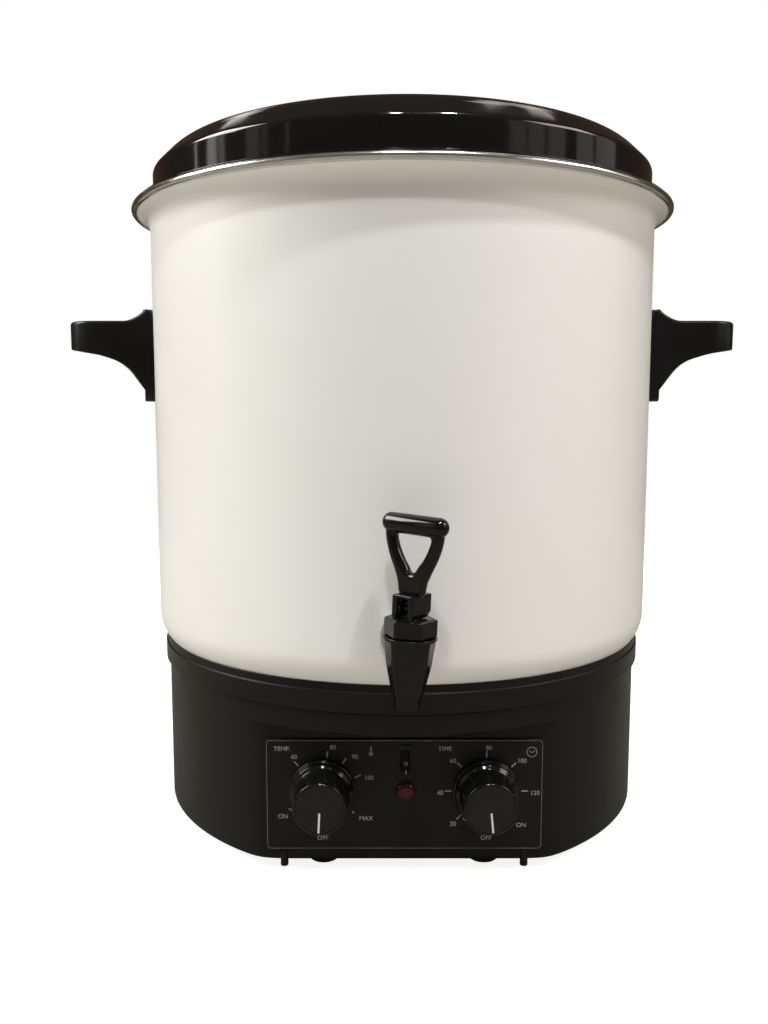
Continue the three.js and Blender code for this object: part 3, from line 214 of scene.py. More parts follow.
# Rubber feet
# Four black rubber pucks on the bottom plate, each with a deep recess round its screw.
# They are moulded, a little dusty, and rounded at the floor.
def soften(corners, steps=6):
    """Line through corners (out, up, rounding) in which each corner becomes an arc that
    touches both its sides; a short straight step by each arc keeps its shading local."""
    line = []
    for i, (out, up, rounding) in enumerate(corners):
        spot = np.array([out, up], float)
        if rounding == 0 or i in (0, len(corners) - 1):
            line.append(spot[None])
            continue
        before = np.array(corners[i - 1][:2]) - spot
        after = np.array(corners[i + 1][:2]) - spot
        room_before, room_after = np.linalg.norm(before), np.linalg.norm(after)
        before = before / room_before
        after = after / room_after
        half = math.acos(np.clip(before @ after, -1, 1)) / 2
        reach = rounding / math.tan(half)
        middle = spot + (before + after) / np.linalg.norm(before + after) * rounding / math.sin(half)
        first, last = spot + before * reach - middle, spot + after * reach - middle
        start = math.atan2(first[1], first[0])
        sweep = (math.atan2(last[1], last[0]) - start + math.pi) % (2 * math.pi) - math.pi
        angle = start + sweep * np.linspace(0, 1, steps + 1)
        bend = middle + rounding * np.column_stack([np.cos(angle), np.sin(angle)])
        tail_before = before * min(rounding * 0.4, max(room_before - reach, 0) * 0.4)
        tail_after = after * min(rounding * 0.4, max(room_after - reach, 0) * 0.4)
        line.append(np.vstack([bend[:1] + tail_before, bend, bend[-1:] + tail_after]))
    return np.vstack(line)


def lathe(line, around):
    """Grid of points in millimetres: a line (out, up) carried once round the upright axis."""
    angle = np.linspace(0, 2 * np.pi, around, endpoint=False)
    out, up = line[:, :1], line[:, 1:]
    height = np.broadcast_to(up, (len(line), around))
    return np.stack([out * np.cos(angle), out * np.sin(angle), height], -1)


def on_cooker(points):
    """Millimetres from the pot axis on the floor, turned into metres in the row frame."""
    return points * 0.001 + np.array([0, axis_y, 0])


def mesh_from(name, finish, *grids, sharp=38):
    """Object with one mesh from closed grids of points in millimetres, each with quads
    between its rows and with the doubles at its poles merged."""
    points = []
    faces = []
    start = 0
    for grid in grids:
        rows, columns = grid.shape[:2]
        points.append(on_cooker(grid).reshape(-1, 3))
        faces.append(quads(rows, columns) + start)
        start += rows * columns
    mesh = bpy.data.meshes.new(name)
    mesh.from_pydata(np.vstack(points).tolist(), [], np.vstack(faces).tolist())
    merged = bmesh.new()
    merged.from_mesh(mesh)
    bmesh.ops.remove_doubles(merged, verts=merged.verts, dist=2e-7)
    merged.to_mesh(mesh)
    merged.free()
    return shown(name, mesh, finish, sharp)


def shader_of(finish):
    """The material's one Principled shader."""
    return finish.node_tree.nodes["Principled BSDF"]


def new_finish(name, colour, roughness, metallic=0.0, **sockets):
    """Material with one Principled shader whose plain values sit on its own sockets."""
    finish = bpy.data.materials.new(name)
    finish.use_nodes = True
    shader = shader_of(finish)
    shader.inputs["Base Color"].default_value = (*colour, 1)
    shader.inputs["Roughness"].default_value = roughness
    shader.inputs["Metallic"].default_value = metallic
    for label, value in sockets.items():
        shader.inputs[label.replace("_", " ").title().replace("Ior", "IOR")].default_value = value
    return finish


def new_effect(name, sizes, output, kind):
    """Empty shader group with number inputs and one output, and its own end nodes."""
    effect = bpy.data.node_groups.new(name, "ShaderNodeTree")
    for label in sizes:
        effect.interface.new_socket(name=label, in_out="INPUT", socket_type="NodeSocketFloat")
    effect.interface.new_socket(name=output, in_out="OUTPUT", socket_type=kind)
    return effect, effect.nodes.new("NodeGroupInput"), effect.nodes.new("NodeGroupOutput")


def sized_noise(effect, group_in, **values):
    """Noise on Object coordinates whose waves are as long as the group's Size."""
    place = add_node(effect, "TexCoord")
    per_metre = add_node(effect, "Math", {0: 1}, operation="DIVIDE")
    noise = add_node(effect, "TexNoise", values)
    wire(effect, (group_in, "Size", per_metre, 1), (place, "Object", noise, "Vector"),
         (per_metre, 0, noise, "Scale"))
    return noise


# Uneven skin: noise on Object coordinates raises the surface by Depth metres
uneven_skin, uneven_in, uneven_out = new_effect(
    "uneven_skin", ["Size", "Depth"], "Normal", "NodeSocketVector")
uneven_noise = sized_noise(uneven_skin, uneven_in, Detail=3)
uneven_bump = add_node(uneven_skin, "Bump")
wire(uneven_skin, (uneven_noise, 0, uneven_bump, "Height"), (uneven_in, "Depth", uneven_bump, "Distance"),
     (uneven_bump, 0, uneven_out, "Normal"))

# Handling marks: a soft mask of smears left by hands and cloths, of the given size
handling_marks, marks_in, marks_out = new_effect(
    "handling_marks", ["Size"], "Mask", "NodeSocketFloat")
marks_noise = sized_noise(handling_marks, marks_in, Detail=5, Distortion=0.8)
marks_cut = add_node(handling_marks, "MapRange", {"From Min": 0.38, "From Max": 0.68})
wire(handling_marks, (marks_noise, 0, marks_cut, "Value"), (marks_cut, 0, marks_out, "Mask"))

# Settled dust: fine specks on faces that look up, none on faces that look down
settled_dust, dust_in, dust_out = new_effect(
    "settled_dust", ["Size", "Amount"], "Mask", "NodeSocketFloat")
dust_noise = sized_noise(settled_dust, dust_in, Detail=4)
dust_cut = add_node(settled_dust, "MapRange", {"From Min": 0.45, "From Max": 0.75})
dust_facing = add_node(settled_dust, "NewGeometry")
dust_parts = add_node(settled_dust, "SeparateXYZ")
dust_up = add_node(settled_dust, "MapRange", {"From Min": -0.1})
dust_product = add_node(settled_dust, "Math", operation="MULTIPLY")
dust_amount = add_node(settled_dust, "Math", operation="MULTIPLY")
wire(settled_dust,
     (dust_noise, 0, dust_cut, "Value"), (dust_facing, "Normal", dust_parts, 0),
     (dust_parts, "Z", dust_up, "Value"), (dust_cut, 0, dust_product, 0), (dust_up, 0, dust_product, 1),
     (dust_product, 0, dust_amount, 0),
     (dust_in, "Amount", dust_amount, 1), (dust_amount, 0, dust_out, "Mask"))


def use_effect(finish, effect, **values):
    """Places an effect group in a material with its own values; gives back its output."""
    placed = add_node(finish.node_tree, "Group", node_tree=effect)
    for label, value in values.items():
        placed.inputs[label.title()].default_value = value
    return placed.outputs[0]


def skin_of(finish, size, depth):
    """Gives the material's shader an uneven skin with waves of size, depth metres high."""
    ripple = use_effect(finish, uneven_skin, size=size, depth=depth)
    finish.node_tree.links.new(ripple, shader_of(finish).inputs["Normal"])


def colour_by(finish, mask, plain, marked):
    """Base colour that goes from plain to marked as the mask goes from 0 to 1."""
    mix = add_node(finish.node_tree, "Mix", {6: (*plain, 1), 7: (*marked, 1)}, data_type="RGBA")
    finish.node_tree.links.new(mask, mix.inputs[0])
    wire(finish.node_tree, (mix, 2, shader_of(finish), "Base Color"))


def roughness_by(finish, mask, plain, marked):
    """Roughness that goes from plain to marked as the mask goes from 0 to 1."""
    share = add_node(finish.node_tree, "MapRange", {"To Min": plain, "To Max": marked})
    finish.node_tree.links.new(mask, share.inputs["Value"])
    wire(finish.node_tree, (share, 0, shader_of(finish), "Roughness"))


def worn(name, marks, roughness, colours, skin=None, dust=None, metallic=0.0, **sockets):
    """Material with handling marks of size marks, which take its roughness from the first
    value to the second, and an uneven skin (size, depth). Its colour goes from the first to
    the second with the dust (size, amount) or, where there is none, with the same marks."""
    finish = new_finish(name, colours[0], roughness[0], metallic, **sockets)
    smears = use_effect(finish, handling_marks, size=marks)
    roughness_by(finish, smears, *roughness)
    if dust:
        colour_by(finish, use_effect(finish, settled_dust, size=dust[0], amount=dust[1]), *colours)
    else:
        colour_by(finish, smears, *colours)
    if skin:
        skin_of(finish, *skin)
    return finish


black_rubber = worn("black_rubber", 0.006, (0.72, 0.9), ((0.012, 0.012, 0.012), (0.09, 0.085, 0.08)),
                    (0.0007, 0.00004), dust=(0.0006, 0.5))
pot_low, pot_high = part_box("pot_shell")
axis_y = (pot_low.y + pot_high.y) / 2
foot_line = soften([
    (4.3, 4, 0), (4.3, 0, 0.3), (9.5, 0, 1.6), (9.5, 8.2, 0.4), (2.3, 8.2, 0.2), (2.3, 4, 0), (4.3, 4, 0)])
foot_spots = [("front_left", -50, -127), ("front_right", 50, -127),
              ("rear_left", -100, 110), ("rear_right", 100, 110)]
for corner, foot_x, foot_y in foot_spots:
    foot = mesh_from("foot_puck_" + corner, black_rubber, lathe(foot_line, 48) + [foot_x, foot_y, 0])
    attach(foot, "cooker")
    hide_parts("rubber_foot_" + corner)


# Bottom plate, screws and the tie bolt
# A pressed steel plate closes the base from below; screws through the feet hold it, and
# one centre bolt ties pot, base and plate together. All of it is dull zinc-plated steel.
def dress(finish, *nodes):
    """Gives CAD nodes this material; their meshes stay as they are."""
    for node in nodes:
        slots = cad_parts[node].material_slots
        if not slots:
            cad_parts[node].data.materials.append(finish)
            continue
        for slot in slots:
            slot.link = "OBJECT"
            slot.material = finish


zinc_steel = worn("zinc_steel", 0.012, (0.34, 0.56), ((0.46, 0.465, 0.46), (0.3, 0.3, 0.285)),
                  (0.0015, 0.00002), metallic=1.0)
dress(zinc_steel, "bottom_plate", "tie_bolt", "tie_nut", "reflector_nut",
      *["foot_screw_" + spot[0] for spot in foot_spots])

# Base housing
# One deep moulding of black heat-proof resin, round behind and cut flat in front below a
# round brow. It was pulled from one mould, so its edges are soft; two pegs stand below.
housing_radius = 169
housing_flat = 145
brow_height = 92.5
brow_round = 2.6


def angles(start, end, count):
    """Angles in radians at even steps from start to end, both given in degrees."""
    return np.radians(np.linspace(start, end, count))


def around_base(inset):
    """Distance from the axis to the housing's wall at each angle: the lesser of the round
    wall and the flat front, blended by a high power so that the corner is rounded."""
    facing = np.clip(-np.sin(base_angle), 0, None)
    power = 70
    round_part = (1 / (housing_radius - inset)) ** power
    flat_part = (facing / (housing_flat - inset)) ** power
    return (round_part + flat_part) ** (-1 / power)


base_angle = np.linspace(0, 2 * np.pi, 360, endpoint=False)
flat_wall = around_base(0)
under_brow = housing_radius - flat_wall
fillet = np.minimum(under_brow * 0.3, 2.0)
brow_edge = np.minimum(under_brow, brow_round)
base_levels = [(around_base(6), 9), (around_base(5.1), 8.5), (around_base(5.1), 7)]
for turn in angles(0, 90, 9):
    base_levels.append((around_base(1.5 - 1.5 * math.sin(turn)), 8.5 - 1.5 * math.cos(turn)))
base_levels += [(flat_wall, 10), (flat_wall, brow_height - 4)]
for turn in angles(0, 90, 7):
    base_levels.append((flat_wall + fillet * (1 - math.cos(turn)),
                        brow_height - fillet * (1 - math.sin(turn))))
for turn in angles(0, 90, 9):
    base_levels.append((housing_radius - brow_edge * (1 - math.sin(turn)),
                        brow_height + brow_edge * (1 - math.cos(turn))))
base_levels += [(housing_radius, brow_height + 4), (housing_radius, 105.4)]
for turn in angles(0, 90, 6):
    base_levels.append((housing_radius - 1 + math.cos(turn), 105.7 + math.sin(turn)))
base_levels += [(housing_radius - 47, 106.7), (housing_radius - 47, 103.7), (around_base(3), 103.7),
                (around_base(3), 12), base_levels[0]]
base_out, base_up = [np.array([np.broadcast_to(level[part], base_angle.shape) for level in base_levels])
                     for part in (0, 1)]
base_grid = np.stack([base_out * np.cos(base_angle), base_out * np.sin(base_angle), base_up], -1)
peg_line = soften([(0, 3.2, 0), (2.4, 3.2, 0.6), (2.4, 13, 0.8), (0, 13.6, 0)])
satin_black = worn("satin_black", 0.07, (0.3, 0.4), ((0.0045, 0.0045, 0.004), (0.08, 0.078, 0.07)),
                   (0.0009, 0.000012), dust=(0.0006, 0.15), specular_ior_level=0.25)
housing = mesh_from("housing_moulding", satin_black, base_grid)
peg_pair = mesh_from("housing_pegs", satin_black,
                     *[lathe(peg_line, 32) + [x, -144.1, 0] for x in (-73.3, 73.3)])
for moulding in (housing, peg_pair):
    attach(moulding, "cooker")
    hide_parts("base_housing")

# Collar that cups the pot
# A separate ring of the same resin sits on the housing and carries the rounded corner of
# the pot. A fine bead runs round the top of its band, with a sloped lip above it.
collar_line = soften([
    (160.5, 107, 0), (171.5, 107, 0.7), (171.5, 119.4, 0.5), (170.6, 119.9, 0.15),
    (170.05, 124.4, 0.3), (168.4, 123.4, 0.2), (166, 120.4, 0), (163.6, 118.3, 0), (160.5, 116.6, 0),
    (160.5, 107, 0)])
collar = mesh_from("collar_ring", satin_black, lathe(collar_line, 320), sharp=30)
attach(collar, "cooker")
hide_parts("base_collar")

# Heater, controls and wiring inside the base
# A tubular element under the pot floor over a bright reflector, a sensing bulb with its
# brass capillary, and grey moulded cases for thermostat, timer, cutout and terminals.
inner_resin = worn("inner_resin", 0.01, (0.52, 0.68), ((0.07, 0.07, 0.062), (0.095, 0.09, 0.08)),
                   (0.0008, 0.00002))
dress(inner_resin, "thermostat_body", "timer_body", "lamp_holder", "thermal_cutout", "terminal_block")
scaled_steel = worn("scaled_steel", 0.02, (0.4, 0.65), ((0.2, 0.19, 0.18), (0.1, 0.08, 0.09)),
                    (0.001, 0.00002), metallic=1.0)
dress(scaled_steel, "heating_element")
bright_steel = worn("bright_steel", 0.03, (0.13, 0.27), ((0.74, 0.73, 0.71), (0.62, 0.6, 0.57)),
                    (0.002, 0.000006), metallic=1.0)
dress(bright_steel, "reflector_plate")
yellow_brass = worn("yellow_brass", 0.01, (0.28, 0.5), ((0.6, 0.42, 0.16), (0.33, 0.22, 0.1)),
                    (0.001, 0.00001), metallic=1.0)
dress(yellow_brass, "sensing_bulb", "capillary_tube", "thermostat_shaft", "timer_shaft")

# Control panel
# A thin black sheet of plastic-coated metal on the flat of the housing. Scales and words are
# screen-printed on it in mid grey; a fine grey line 1 mm inside its edge is a painted highlight
# of that edge.
panel_middle = 48.85
panel_front = 146.3


def arc(out, up, turn, wide, high=None):
    """Points at these angles on a circle, or an upright ellipse, round (out, up)."""
    return np.column_stack([out + wide * np.cos(turn), up + (high or wide) * np.sin(turn)])


def rounded_outline(half_wide, half_high, corner, steps=8):
    """Points counter-clockwise round a rectangle whose corners are quarter circles."""
    turn = angles(0, 90, steps + 1)
    return np.vstack([
        arc(side * (half_wide - corner), rise * (half_high - corner), turn + quarter * np.pi / 2, corner)
        for quarter, (side, rise) in enumerate([(1, 1), (-1, 1), (-1, -1), (1, -1)])])


def raised(ring, height):
    """Flat outline lifted to one height, or to a height for each point."""
    return np.column_stack([ring, np.broadcast_to(height, len(ring))])


def rings_of(levels):
    """Grid of rounded outlines (half width, half height, corner, height), one row each; a
    row of no size closes the form at its end."""
    return np.array([raised(rounded_outline(*outline), height) for *outline, height in levels])


def plate(half_wide, half_high, corner, levels):
    """Grid for a rounded plate: at each level (inset, height) the outline shrinks by the
    inset; the first and last rings close on the middle of the plate."""
    rings = [(half_wide - inset, half_high - inset, max(corner - inset, 0.02), height)
             for inset, height in levels]
    return rings_of([(0, 0, 0, levels[0][1]), *rings, (0, 0, 0, levels[-1][1])])


def facing_front(grid):
    """Turns a form that rises along +Z so that it rises towards the front, -Y."""
    return np.stack([grid[..., 0], -grid[..., 2], grid[..., 1]], -1)


panel_grid = facing_front(plate(84.2, 34.95, 2, [
    (0.3, 145.3), (0, 145.3), (0, 146.1), (0.06, 146.24), (0.2, panel_front), (1, panel_front)]))
panel_black = worn("panel_black", 0.03, (0.36, 0.5), ((0.005, 0.005, 0.005), (0.05, 0.05, 0.045)),
                   (0.0004, 0.00001), dust=(0.0005, 0.2), specular_ior_level=0.25)
panel = mesh_from("panel_sheet", panel_black, panel_grid + [0, 0, panel_middle], sharp=50)
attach(panel, "cooker")
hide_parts("control_panel")

# Print on the panel, and a painted edge highlight
# Ticks, numbers and words of the two scales, a thermometer and a clock face, and a line
# round the sheet 1 mm inside its edge that is the edge's highlight, painted in the same grey.
# The ink lies on the sheet as a film a few hundredths of a millimetre thick.
ink_low = panel_front
ink_high = panel_front + 0.03
knob_x = 49.6
knob_z = 51.2


def strips(starts, ends, width, low=ink_low, high=ink_high):
    """Thin upright-sided bars between pairs of points on the panel; eight corners each."""
    starts, ends = np.array(starts, float), np.array(ends, float)
    along = ends - starts
    along = along / np.linalg.norm(along, axis=1, keepdims=True)
    across = np.column_stack([-along[:, 1], along[:, 0]]) * width / 2
    ring = np.stack([starts - across, ends - across, ends + across, starts + across], 1)
    bottom = np.concatenate([ring, np.full(ring.shape[:2] + (1,), low)], -1)
    top = np.concatenate([ring, np.full(ring.shape[:2] + (1,), high)], -1)
    corners = np.concatenate([bottom, top], 1).reshape(-1, 3)
    sides = np.array([[3, 2, 1, 0], [4, 5, 6, 7], [0, 1, 5, 4], [1, 2, 6, 5], [2, 3, 7, 6], [3, 0, 4, 7]])
    faces = (sides[None] + 8 * np.arange(len(starts))[:, None, None]).reshape(-1, 4)
    return corners, faces.tolist()


def curve_strips(middle, radius, start, end, width, steps=14, low=ink_low, high=ink_high):
    """Bars end to end along an arc; angles in degrees, clockwise from the top."""
    turn = angles(start, end, steps + 1)
    spots = np.array(middle) + radius * np.column_stack([np.sin(turn), np.cos(turn)])
    return strips(spots[:-1], spots[1:], width, low, high)


def word(text, x, z, size=3.9):
    """Outline letters of the built-in face, turned into a mesh about their own middle."""
    letters = bpy.data.curves.new("letters", "FONT")
    letters.body = text
    letters.size = size
    letters.align_x = "CENTER"
    letters.align_y = "CENTER"
    letters.resolution_u = 3
    letters.offset = 0.016 * size
    holder = bpy.data.objects.new("letters", letters)
    bpy.context.collection.objects.link(holder)
    bpy.context.view_layer.update()
    drawn = bpy.data.meshes.new_from_object(holder.evaluated_get(bpy.context.evaluated_depsgraph_get()))
    bpy.data.objects.remove(holder)
    spots = np.zeros(len(drawn.vertices) * 3)
    drawn.vertices.foreach_get("co", spots)
    spots = spots.reshape(-1, 3)
    flat = [list(face.vertices) for face in drawn.polygons]
    spots = spots + [x, z, ink_high]
    under = spots.copy()
    under[:, 2] = ink_low
    count = len(spots)
    edges = dict.fromkeys((a, b) for face in flat for a, b in zip(face, face[1:] + face[:1]))
    rim = [(a, b) for a, b in edges if (b, a) not in edges]
    faces = flat + [[k + count for k in reversed(face)] for face in flat]
    faces += [[b, a, a + count, b + count] for a, b in rim]
    return np.vstack([spots, under]), faces


def joined(name, finish, shapes, place):
    """One object from (points, faces) shapes in millimetres, put in place by a function."""
    points = []
    faces = []
    start = 0
    for spots, corners in shapes:
        points.append(spots)
        faces += [[k + start for k in face] for face in corners]
        start += len(spots)
    mesh = bpy.data.meshes.new(name)
    mesh.from_pydata(on_cooker(place(np.vstack(points))).tolist(), [], faces)
    return shown(name, mesh, finish)


def ticks(x, turns, inner=21.2, outer=25.2, width=0.75):
    """Short radial bars round a knob's middle at angles clockwise from the top."""
    turn = np.radians(turns)
    way = np.column_stack([np.sin(turn), np.cos(turn)])
    middle = np.array([x, knob_z])
    return strips(middle + inner * way, middle + outer * way, width)


scale_marks = [
    ticks(-knob_x, [-42.5, 7.5, 35, 66.5]), ticks(knob_x, [-135, -90, -45, 0, 45, 90]),
    ticks(-knob_x, [-120, 126], 22.2, 23.6, 0.9), ticks(knob_x, [135], 22.4, 23.4, 1.0),
    curve_strips((-knob_x, knob_z), 22.3, -172, -128, 0.35),
    curve_strips((knob_x, knob_z), 22.3, -172, -146, 0.35)]
scale_words = [word(text, x, z) for text, x, z in [
    ("TEMP.", -73.8, 77.6), ("60", -66.6, 72.6), ("80", -43.1, 78.4), ("90", -29.8, 72.6),
    ("100", -21.4, 59.4), ("MAX", -23.3, 33.8), ("ON", -73.7, 35.1), ("OFF", -knob_x, 21.4),
    ("TIME", 24.4, 77.6), ("60", 29.3, 70.1), ("80", 50.9, 78.2), ("100", 70.9, 70.1), ("120", 79.1, 49.9),
    ("40", 21.6, 49.9), ("20", 29.6, 30.3), ("OFF", 49.8, 21.4), ("ON", 71.0, 29.6)]]
# Painted highlight: a thin grey line 1 mm inside the panel's edge stands for the light that edge catches.
edge_highlight_line = rounded_outline(83.2, 33.95, 2.2) + [0, panel_middle]
signs_and_edge_highlight = [
    strips([(-68.6, 38.6), (-68.6, 38.6)], [(-65.6, 38.0), (-67.0, 41.4)], 0.35),
    strips([(35.6, 33.4), (35.6, 33.4)], [(38.6, 32.6), (37.0, 36.2)], 0.35),
    strips([(-20.2, 76.4)], [(-20.2, 79.2)], 0.9), curve_strips((-20.2, 74.6), 0.7, 0, 360, 1.4, 16),
    curve_strips((76.8, 75.7), 3.0, 0, 360, 0.42, 32),
    strips([(76.8, 75.2), (76.8, 75.2)], [(75.1, 76.6), (78.5, 76.6)], 0.4),
    strips(edge_highlight_line, np.roll(edge_highlight_line, -1, 0), 0.2)]
grey_ink_and_edge_highlight = worn("grey_ink_and_edge_highlight", 0.004, (0.55, 0.55), ((0.28, 0.28, 0.27), (0.17, 0.17, 0.165)))
panel_print_and_edge_highlight = joined("panel_print_and_edge_highlight", grey_ink_and_edge_highlight, scale_marks + scale_words + signs_and_edge_highlight, facing_front)
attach(panel_print_and_edge_highlight, "cooker")

# Thermostat and timer knobs
# Two glossy black knobs pressed on brass shafts. Each has a stepped skirt, a tapered grip
# and a satin face a little below its rim, with a white line that points to the scale.
knob_line = soften([
    (3.3, 0, 0), (6, 0, 0.3), (6, 3.5, 0), (16.2, 3.5, 0), (16.2, 0, 0.3), (20.4, 0, 0.5), (20.4, 2.3, 0.7),
    (19.2, 3.2, 0.5), (18.9, 5.6, 1.1), (17.4, 7.0, 0.6), (16.7, 7.7, 0.8),
    (15.7, 25.6, 0.9), (14.6, 26.5, 0.5), (13.9, 26.2, 0.5), (0, 26.15, 0)])
gloss_black = worn("gloss_black", 0.008, (0.08, 0.15), ((0.003, 0.003, 0.003), (0.07, 0.068, 0.06)),
                   (0.0025, 0.000012), dust=(0.0005, 0.07), specular_ior_level=0.32)
satin_face = worn("satin_face", 0.006, (0.44, 0.58), ((0.007, 0.007, 0.0068), (0.011, 0.011, 0.0105)),
                  (0.0004, 0.00001), specular_ior_level=0.3)
white_line = worn("white_line", 0.003, (0.45, 0.45), ((0.74, 0.74, 0.72), (0.58, 0.58, 0.55)))
knob_back = 147.0
satin_depth = 0.1731
satin_radius = 0.0140
for side, x, body, lean in [("thermostat", -knob_x, "thermostat_control", 3.0),
                            ("timer", knob_x, "timer_control", -5.2)]:
    knob_grid = facing_front(lathe(knob_line, 128)) + [x, -knob_back, knob_z]
    knob = mesh_from(side + "_grip", gloss_black, knob_grid, sharp=45)
    knob.data.materials.append(satin_face)
    for face in knob.data.polygons:
        spot = face.center
        away = math.hypot(spot.x - x * 0.001, spot.z - knob_z * 0.001)
        if spot.y < axis_y - satin_depth and away < satin_radius:
            face.material_index = 1
    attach(knob, body)
    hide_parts(side + "_knob")
    way = np.array([-math.sin(math.radians(lean)), -math.cos(math.radians(lean))])
    spots, faces = strips([2.1 * way], [14.4 * way], 1.15, 26.1, 26.24)
    pointer = joined(side + "_pointer", white_line, [(spots + [x, knob_z, knob_back], faces)], facing_front)
    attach(pointer, body)

# Rocker switch
# A snap-in switch of black plastic. Its case has a long well with round ends; the rocker in
# it tips on a cross pin, stands deep at the top, and is marked 0 and I in white.
switch_x = 0.5
switch_z = 70
switch_seat = 146.6
rocker_tip = math.radians(10)
case_grid = rings_of([
    (0, 0, 0, 125.6), (3.5, 9.3, 0.3, 125.6), (3.5, 9.3, 0.3, switch_seat), (4.2, 10.2, 0.6, switch_seat),
    (4.2, 10.2, 0.6, 147.0), (4.1, 10.1, 0.5, 147.15), (3.9, 9.9, 0.4, 147.2), (3.2, 8.8, 3.1, 147.2),
    (2.97, 8.67, 2.96, 147.1), (2.9, 8.6, 2.89, 146.9), (2.9, 8.6, 2.89, 142), (0, 0, 0, 142)])
case = mesh_from("switch_case", satin_face, facing_front(case_grid) + [switch_x, 0, switch_z])
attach(case, "cooker")
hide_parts("switch_housing")


def rocker_face(along):
    """Depth of the rocker's face at a height along it: a low V, cut back at the top end."""
    return 2.1 - 0.16 * np.clip(along, 0, None) + 0.08 * np.clip(-along, 0, None)


def on_rocker(points):
    """Points (across, along, depth) on the rocker tipped about its pin, then put in place."""
    along, depth = points[..., 1], points[..., 2]
    high = along * math.cos(rocker_tip) + depth * math.sin(rocker_tip)
    out = depth * math.cos(rocker_tip) - along * math.sin(rocker_tip)
    return np.stack([points[..., 0] + switch_x, -switch_seat - out, high + switch_z], -1)


rocker_rows = []
for share, drop in [(0, 0), (0.3, 0), (0.6, 0), (0.85, 0), (0.95, 0.04), (1, 0.3), (1, 2.5), (1, 4.6),
                    (0, 4.6)]:
    ring = rounded_outline(2.6, 7.6, 2.55) * share
    rocker_rows.append(raised(ring, rocker_face(ring[:, 1]) - drop if drop < 4 else -2.4))
rocker = mesh_from("rocker_key", gloss_black, on_rocker(np.array(rocker_rows)))
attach(rocker, "power_rocker")
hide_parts("switch_rocker")
rocker_marks = [curve_strips((0.3, -1.1), 0.95, 0, 360, 0.42, 24, 0.0, 0.03),
                strips([(0.35, -7.2)], [(0.35, -4.9)], 0.6, 0.0, 0.03)]
for spots, _ in rocker_marks:
    spots[:, 2] += rocker_face(spots[:, 1])
rocker_print = joined("rocker_print", grey_ink_and_edge_highlight, rocker_marks, on_rocker)
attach(rocker_print, "power_rocker")

# Indicator lamp
# A domed lens of dark red clear plastic, snapped through the panel below the switch. The
# lamp behind it is off. Its facetted inside is not modelled: a pattern of darker and lighter
# red cells is painted into its colour for the light those facets bend and reflect.
lamp_line = soften([
    (0, 137.6, 0), (4.2, 137.6, 0.3), (4.2, 146.6, 0), (5.6, 146.6, 0.2), (5.6, 147.7, 0.5),
    (4.9, 149.1, 2.2), (2.6, 149.9, 5), (0, 150.0, 0)], 8)
lamp_x = 0.9
lamp_z = 51.5
lamp_grid = facing_front(lathe(lamp_line, 64)) + [lamp_x, 0, lamp_z]
lamp_red = new_finish("lamp_red", (0.075, 0.008, 0.008), 0.12, specular_ior_level=0.4)
lamp_place = add_node(lamp_red.node_tree, "TexCoord")
# Painted facet light: Voronoi cells darken the red towards their edges in place of light bent by real
# facets.
painted_facet_light = add_node(lamp_red.node_tree, "TexVoronoi", {"Scale": 900})
wire(lamp_red.node_tree, (lamp_place, "Object", painted_facet_light, "Vector"))
colour_by(lamp_red, painted_facet_light.outputs["Distance"], (0.075, 0.008, 0.008), (0.03, 0.004, 0.004))
roughness_by(lamp_red, use_effect(lamp_red, handling_marks, size=0.004), 0.06, 0.12)
skin_of(lamp_red, 0.0012, 0.00003)
lamp = mesh_from("lamp_dome", lamp_red, lamp_grid, sharp=40)
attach(lamp, "cooker")
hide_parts("lamp_lens")

# Cord gland at the back
# A two-part black bush that grips the mains lead where it enters the housing, tightened
# from inside by a nut.
gland_line = soften([
    (4, 154, 0), (7.5, 154, 0.3), (7.5, 169.3, 0), (11, 169.3, 0.3), (11, 173.3, 0.8), (7.6, 173.3, 0.6),
    (6.0, 179.3, 1.0), (4, 179.3, 0.4), (4, 154, 0)])
gland_z = 35
gland_grid = lathe(gland_line, 64)
gland_grid = np.stack([-gland_grid[..., 0], gland_grid[..., 2], gland_grid[..., 1] + gland_z], -1)
gland = mesh_from("gland_bush", satin_black, gland_grid)
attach(gland, "cooker")
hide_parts("cord_gland")
dress(satin_black, "gland_nut")

# Pot
# A deep-drawn steel pot under white enamel: flat floor, rounded corner, straight wall, and
# a mouth that flares out over a hidden bead. The enamel has a faint orange-peel ripple.
pot_turn = angles(-90, 0, 13)
flare_turn = angles(180, 96, 15)
bead_turn = angles(-90, 150, 15)
back_turn = angles(100, 180, 13)
bead_out = 184.65
bead_up = 412.85
flare_up = 398.85
wall_out = 175
wall_in = 173.4
corner_out = 150
corner_up = 140
pot_line = np.vstack([
    [[0, 115], [120, 115]], arc(corner_out, corner_up, pot_turn, wall_out - corner_out),
    [[wall_out, up] for up in (150, 250, 350, 396)],
    arc(bead_out, flare_up, flare_turn, 9.65, 12.5), arc(bead_out, bead_up, bead_turn, 1.5),
    arc(bead_out, flare_up, back_turn, 11.25, 14.1), [[wall_in, up] for up in (396, 350, 250, 150)],
    arc(corner_out, corner_up, pot_turn[::-1], wall_in - corner_out), [[120, 116.6], [0, 116.6]]])
white_enamel = new_finish("white_enamel", (0.82, 0.817, 0.802), 0.34, coat_weight=0.2, coat_roughness=0.24)
enamel_clouds = use_effect(white_enamel, handling_marks, size=0.16)
colour_by(white_enamel, enamel_clouds, (0.82, 0.817, 0.802), (0.8, 0.793, 0.772))
roughness_by(white_enamel, use_effect(white_enamel, handling_marks, size=0.05), 0.34, 0.4)
skin_of(white_enamel, 0.006, 0.00002)
pot = mesh_from("pot_enamel", white_enamel, lathe(pot_line, 320), sharp=50)
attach(pot, "cooker")
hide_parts("pot_shell")

